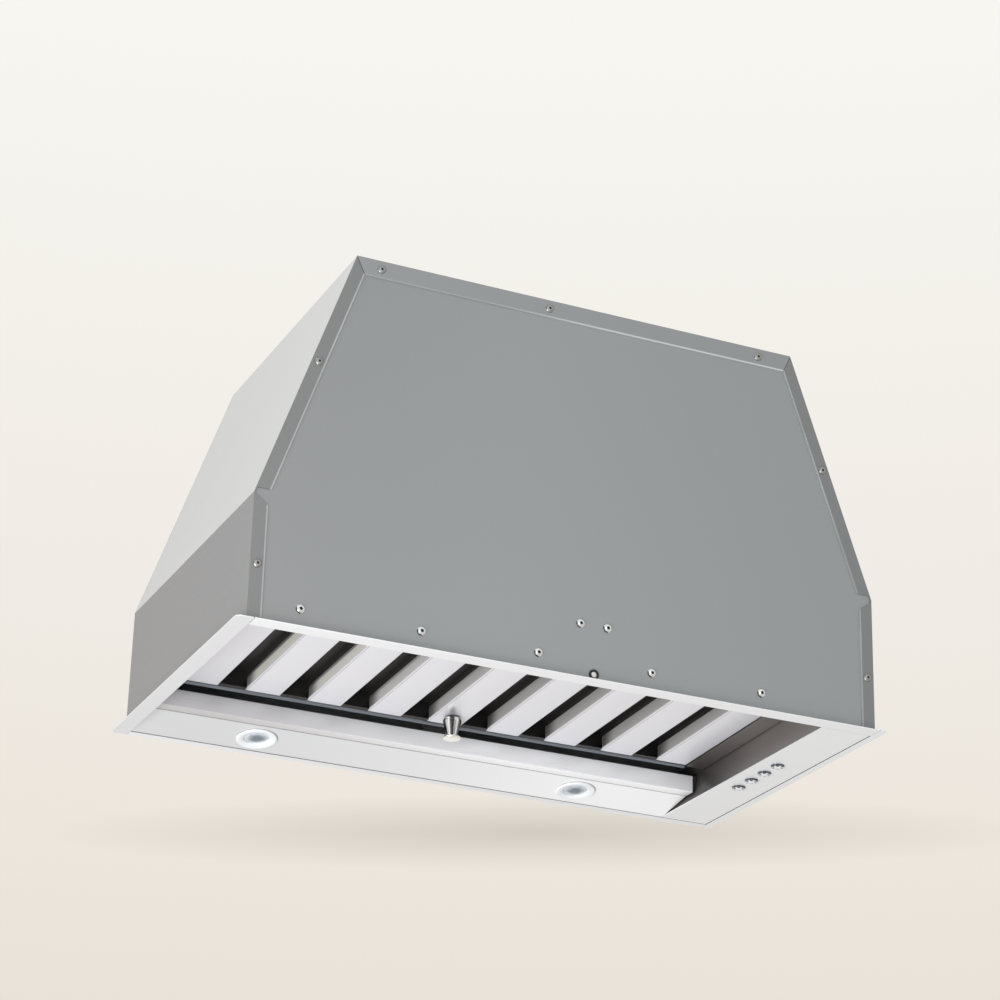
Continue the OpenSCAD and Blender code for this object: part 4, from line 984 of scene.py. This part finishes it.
def filter_troughs():
    overlap, rise, bend_r = 7.0, 6.0, 8.0
    half, low, high = SLOT_W / 2 + overlap, rise - PIVOT_RISE, FILTER_H - PIVOT_RISE - SEAM
    path = rounded([(half, low), (half, high), (-half, high), (-half, low)], bend_r, 8)
    bm = bmesh.new()
    bar(bm, sheet_outline(path, SLAT_SHEET), SHEET - FILTER_FRONT, FILTER_BACK - SHEET, FILTER_PLACE, "Y")
    mesh = grown("troughs", ROW, smooth_mesh("trough_unit", bm), Count=SLOTS,
                 Pitch=across_filter(SLOT_PITCH), Finish=finishes["trough"],
                 First=across_filter(SLAT_W + SLOT_W / 2 - FILTER_W / 2))
    piece("troughs", mesh, "filter", "filter_troughs")


def filter_frame():
    """Four walls, a flange in front, one above the slats' rear ends, and the rolled rail."""
    front, low, high = -FILTER_FRONT, SLAT_SHEET - PIVOT_RISE, FILTER_H - PIVOT_RISE
    half, back, chamfer = FILTER_W / 2, FILTER_BACK, 0.4
    bm = bmesh.new()
    for first, last in (((-half, front, low), (-half + SHEET, back, high)),
                        ((half - SHEET, front, low), (half, back, high)),
                        ((-half, front, low), (half, front + SHEET, high)),
                        ((-half, back - SHEET, low), (half, back, high)),
                        ((-half, front, low - SLAT_SHEET), (half, front + FRAME_FLANGE_W, low)),
                        ((-half, back - REAR_FLANGE_W, low), (half, back, low + SLAT_SHEET))):
        box(bm, first, last, FILTER_PLACE)
    shell = smooth_mesh("filter_shell", bm, [finishes["case"]])
    turn = (FILTER_PLACE @ Matrix.Translation((0, back + RAIL_R - SEAM, low + SEAM))
            @ Matrix.Rotation(math.pi / 2, 4, "Y"))
    ends = [(0, -half), (RAIL_R - chamfer, -half), (RAIL_R, chamfer - half)]
    ends += [(RAIL_R, half - chamfer), (RAIL_R - chamfer, half), (0, half)]
    rail = turned("filter_rail", ends, turn, 40, [finishes["rail"]])
    piece("filter_case", joined("filter_case", shell, rail), "filter", "filter_frame")


def knob():
    """Bulb on the slat, neck, and the disc that the fingers hold."""
    shoulder, disc, edge = KNOB_R / 2, KNOB_H - KNOB_DISC_T, KNOB_DISC_T / 2
    profile = [(0, KNOB_SEAT_GAP)]
    profile += arc((KNOB_R - shoulder, shoulder + KNOB_SEAT_GAP), shoulder, -90, 8, 14)
    profile += [(KNOB_NECK_R + 0.1, disc - 1.0), (KNOB_NECK_R + 0.2, disc - 0.3), (KNOB_NECK_R + 0.7, disc)]
    profile += arc((KNOB_DISC_R - edge, disc + edge), edge, -90, 90, 12)
    profile += [(KNOB_DISC_R * 0.55, KNOB_H - 0.05), (0, KNOB_H)]
    place = FILTER_PLACE @ Matrix.Translation((0, KNOB_Y, -PIVOT_RISE)) @ Matrix.Rotation(math.pi, 4, "X")
    mesh = turned("knob", profile, place, 96, [finishes["knob"]], 60)
    piece("knob", mesh, "knob_and_latch", "filter_knob")


# Buttons and lamps

def notched(radius, notch_r, turn):
    """Radius of a round button with notches, at one turn."""
    apart = from_middle(turn, BUTTON_NOTCHES)
    if abs(apart) > math.asin(notch_r / BUTTON_R):
        return radius
    reach = math.sqrt(max(notch_r ** 2 - (BUTTON_R * math.sin(apart)) ** 2, 0.0))
    return min(radius, BUTTON_R * math.cos(apart) - reach)


def push_button(number):
    """Notched cap with a pale face and a dark side, and the stem behind the panel."""
    y = FIRST_BUTTON_Y + BUTTON_PITCH * (number - 1)
    place = TRIM_PLACE @ Matrix.Translation((CONTROL_X + BUTTON_X_SHARE * CONTROL_W, y, 0))
    notch, none, notch_turn = 1.4, 0.01, 0.24
    flange_r, flange_low, flange_high, stem_r, stem_top = 8.1, 1.5, 2.7, 2.5, 9.0
    hollow = 0.75
    face_z, rim_z = -BUTTON_PROUD, hollow - BUTTON_PROUD
    levels = [(0.15, notch, face_z), (3.9, notch, rim_z - 0.32), (5.1, notch, rim_z - 0.02),
              (BUTTON_R - 0.35, notch, rim_z), (BUTTON_R, notch, rim_z + 0.35), (BUTTON_R, notch, 0.0),
              (BUTTON_R, none, 0.02), (BUTTON_R, none, flange_low), (flange_r, none, flange_low),
              (flange_r, none, flange_high), (stem_r, none, flange_high), (stem_r, none, stem_top)]
    steps = 120
    turns = [math.tau * i / steps for i in range(steps)]
    bm = bmesh.new()
    skin(bm, [vertex_ring(bm, [notched(radius, notch_r, a) for a in turns], z, place)
              for radius, notch_r, z in levels])
    for index, face in enumerate(bm.faces):
        level, step = divmod(index, steps)
        apart = from_middle(math.tau * (step + 0.5) / steps, BUTTON_NOTCHES)
        on_cap = level < 1 or (level < 3 and abs(apart) > notch_turn)
        pale = on_cap or index == len(bm.faces) - 2
        face.material_index = 0 if pale else 1
    name = "button_cap_%d" % number
    mesh = smooth_mesh(name, bm, [finishes["button_face"], finishes["button_side"]], 30)
    piece(name, mesh, "button_%d" % number, "push_button_%d" % number)


def lamp(side, title):
    """Bezel and lens of one lamp."""
    place = LAMP_PLACE @ Matrix.Translation((side * LAMP_REACH, LAMP_MID, 0))
    barrel, depth, lip, rim_r = LAMP_R - 4.0, 7.0, BEZEL_LIP, 1.1
    ring = [(LENS_R, SHEET), (LENS_R, -0.1), (LENS_R + 0.3, -0.5), (barrel, -lip), (LAMP_R - 1.4, -lip)]
    ring += arc((LAMP_R - rim_r, rim_r - lip), rim_r, -90, 0, 8)
    ring += [(LAMP_R, 0), (barrel, 0), (barrel, depth), (barrel - SHEET, depth), (barrel - SHEET, lip),
             (LENS_R + SHEET + SEAM, lip), (LENS_R + SHEET + SEAM, SHEET)]
    bulge, edge, steps = SHEET + lip / 2, LENS_R - 0.1, 16
    glass = [(edge * t, SHEET - bulge * (1 - t * t)) for t in (i / steps for i in range(steps + 1))]
    glass += [(LENS_R + SHEET, SHEET), (LENS_R + SHEET, 2 * lip), (0, 2 * lip)]
    for made, profile, slot in (("ring", ring, "bezel"), ("glass", glass, "lens")):
        name = "%s_lamp_%s" % (title, made)
        mesh = turned(name, profile, place, 96, [finishes[slot]])
        piece(name, mesh, "hood_body", "%s_lamp_%s" % (title, slot))


def lamp_strip():
    """The bent housing of the lamps: back, ceiling, face, hem and fold."""
    top, low, back = LAMP_FACE_LOW + LAMP_FACE_H, LAMP_FACE_LOW, BODY_D - 4 * SHEET
    hem_y, fold_z, fold_w, bend_r = LAMP_Y + LAMP_HEM_W, LAMP_FACE_LOW + SHEET + SEAM, 8 * SHEET, 1.1
    path = rounded([(back, LAMP_BACK_H - 2 * SHEET), (back, top), (LAMP_Y, top), (LAMP_Y, low),
                    (hem_y, low), (hem_y, fold_z), (hem_y + fold_w, fold_z)], bend_r)
    bm = bmesh.new()
    bar(bm, sheet_outline(path, SHEET), LEFT_IN_X + SEAM, CONTROL_X - SEAM, TRIM_PLACE, "X")
    strip = smooth_mesh("lamp_strip", bm, [finishes["lamp_face"]])
    piece("lamp_strip", strip, "hood_body", "lamp_housing")


def grommet():
    """Rubber ring in the front panel, with a pale plug in it."""
    place = (TRIM_PLACE @ Matrix.Translation((GROMMET_X, SHEET, GROMMET_Z))
             @ Matrix.Rotation(math.pi / 2, 4, "X"))
    r, barrel, bore, lip = 5.5, 4.2, 3.1, 1.5
    inner_lip = -2 * SHEET - lip
    profile = [(bore, inner_lip), (bore, lip * 0.6)]
    profile += arc(((r + bore) / 2, lip * 0.5), (r - bore) / 2, 170, 0, 10)
    profile += [(r, 0), (barrel, 0), (barrel, -2 * SHEET), (r, -2 * SHEET), (r - 0.3, inner_lip)]
    profile = [(radius, min(h, lip)) for radius, h in profile]
    ring = turned("grommet_ring", profile, place, 64, [finishes["rubber"]])
    piece("grommet_ring", ring, "hood_body", "cable_grommet")
    plug_r, outer, inner = bore - 0.05, lip / 2, lip / 2 - 4 * SHEET
    plug = [(0, outer), (plug_r * 0.6, outer - 0.05), (plug_r, outer - 0.5), (plug_r, inner), (0, inner)]
    stopper = turned("grommet_stopper", plug, place, 48, [finishes["white"]])
    piece("grommet_stopper", stopper, "hood_body", "grommet_plug")


rivets()
flange_screws("front_screws", 0.0, 0.0, "front_flange_screws")
flange_screws("rear_screws", BODY_D, math.pi, "rear_flange_screws")
collar_screws()
filter_slats()
filter_troughs()
filter_frame()
knob()
for button in (1, 2, 3, 4):
    push_button(button)
lamp(-1, "left")
lamp(1, "right")
lamp_strip()
grommet()


# Camera, solved from the body's edges in the photograph, in metres

FOCAL_LENGTH = 103.88
SENSOR_W = 36.0
NEAREST = 0.05
FARTHEST = 60.0
CAMERA_PLACE = Vector((-1.1821, -2.6503, -1.3998))
AHEAD = Vector((0.3732, 0.8393, 0.3954)).normalized()
nearly_right = Vector((0.9092, -0.4157, 0.0245))
RIGHT = (nearly_right - AHEAD * nearly_right.dot(AHEAD)).normalized()
UP = RIGHT.cross(AHEAD)


def photo_camera():
    data = bpy.data.cameras.new("camera")
    data.lens = FOCAL_LENGTH
    data.sensor_width = SENSOR_W
    data.clip_start = NEAREST
    data.clip_end = FARTHEST
    camera = in_scene("camera", data)
    turn = Matrix((RIGHT, UP, -AHEAD)).transposed().to_4x4()
    camera.matrix_world = Matrix.Translation(CAMERA_PLACE) @ turn
    bpy.context.scene.camera = camera


# Light and background, in metres and watts

# The background's colour by how steeply the view rises: 0 is level or lower and 1 is straight up
BACKGROUND_STOPS = ((0.0, (226, 219, 208)), (0.24, (234, 227, 217)), (0.36, (240, 235, 228)),
                    (0.54, (247, 246, 241)))
# The soft shadow below the hood in the picture: half width, place and half height as shares of distance
SHADOW_W = 0.173
SHADOW_X = 0.0139
SHADOW_LOW = 0.1151
SHADOW_H = 0.0132
SHADOW_COLOUR = (0.76, 0.7562, 0.7486, 1)
SKY_COLOUR = (0.95, 0.97, 1.0, 1)
SKY_STRENGTH = 0.62
FLOOR_Z = -1.62
FLOOR_HALF_W = 3.5
FLOOR_FADE = (1.6, 3.4)
HOOD_MIDDLE = Vector((0, 0, -0.25))


def studio_world():
    """The picture's background for the eye and for reflections, and an even sky for all other light."""
    world = bpy.data.worlds.new("studio")
    bpy.context.scene.world = world
    world.use_nodes = True
    m = Shader(world.node_tree)
    view = m.coordinates["Generated"]
    stops = [(place, linear(*colour)) for place, colour in BACKGROUND_STOPS]
    backdrop = m.add("ShaderNodeValToRGB", {"stops": stops}, Fac=m.split(view)[2])["Color"]

    def along(axis):
        return m.add("ShaderNodeVectorMath", {"operation": "DOT_PRODUCT"}, Vector=[view, axis])["Value"]

    least_depth = 0.05
    depth = along(AHEAD).most(least_depth)
    wide = (along(RIGHT) / depth - SHADOW_X) / SHADOW_W
    high = (along(UP) / depth + SHADOW_LOW) / SHADOW_H
    veil = (1 - (wide * wide + high * high).power(0.5)).most(0.0)
    shaded = m.mix(backdrop, SHADOW_COLOUR, veil, "MULTIPLY")
    seen = m.add("ShaderNodeBackground", Color=shaded)["Background"]
    lit = m.add("ShaderNodeBackground", Color=SKY_COLOUR, Strength=SKY_STRENGTH)["Background"]
    ray = m.add("ShaderNodeLightPath")
    direct = ray["Is Camera Ray"].most(ray["Is Glossy Ray"]).most(ray["Is Transmission Ray"])
    either = m.add("ShaderNodeMixShader", Fac=direct, Shader=[lit, seen])["Shader"]
    m.add("ShaderNodeOutputWorld", Surface=either)


def soft_box(name, place, size, power):
    """Square light that looks at the hood and can't be seen."""
    data = bpy.data.lights.new(name, "AREA")
    data.size = size
    data.energy = power
    light = in_scene(name, data)
    light.location = place
    light.rotation_mode = "QUATERNION"
    light.rotation_quaternion = (HOOD_MIDDLE - Vector(place)).to_track_quat("-Z", "Y")
    light.visible_camera = False


def pale_floor():
    """Plain floor below the hood for the eye alone, faded out at its rim and open from below."""
    m = Finish("floor_paper")
    x, y, _ = m.axes()
    far = (x * x + y * y).power(0.5)
    tone = m.mix(linear(232, 226, 217), linear(238, 232, 224), m.noise(3.0))
    paper = m.add("ShaderNodeBsdfPrincipled", Base_Color=tone, Roughness=0.8)["BSDF"]
    nothing = m.add("ShaderNodeBsdfTransparent")["BSDF"]
    from_below = m.add("ShaderNodeNewGeometry")["Backfacing"]
    unseen = 1 - m.add("ShaderNodeLightPath")["Is Camera Ray"]
    clear = from_below.most(far.smooth(*FLOOR_FADE)).most(unseen)
    mixed = m.add("ShaderNodeMixShader", Fac=clear, Shader=[paper, nothing])["Shader"]
    m.add("ShaderNodeOutputMaterial", Surface=mixed)
    bm = bmesh.new()
    bmesh.ops.create_grid(bm, x_segments=8, y_segments=8, size=FLOOR_HALF_W)
    bmesh.ops.translate(bm, verts=bm.verts, vec=(0, 0, FLOOR_Z))
    mesh = smooth_mesh("floor", bm, [m.material])
    if mesh.polygons[0].normal.z < 0:
        mesh.flip_normals()
    in_scene("floor", mesh)


photo_camera()
studio_world()
pale_floor()
soft_box("light_left", (-2.0, 0.8, 2.6), 2.0, 36)
soft_box("light_below", (-1.5, -1.0, -1.5), 1.6, 40)
soft_box("light_front", (-0.4, -3.6, 0.3), 2.0, 20)
bpy.context.scene.view_settings.view_transform = "Standard"
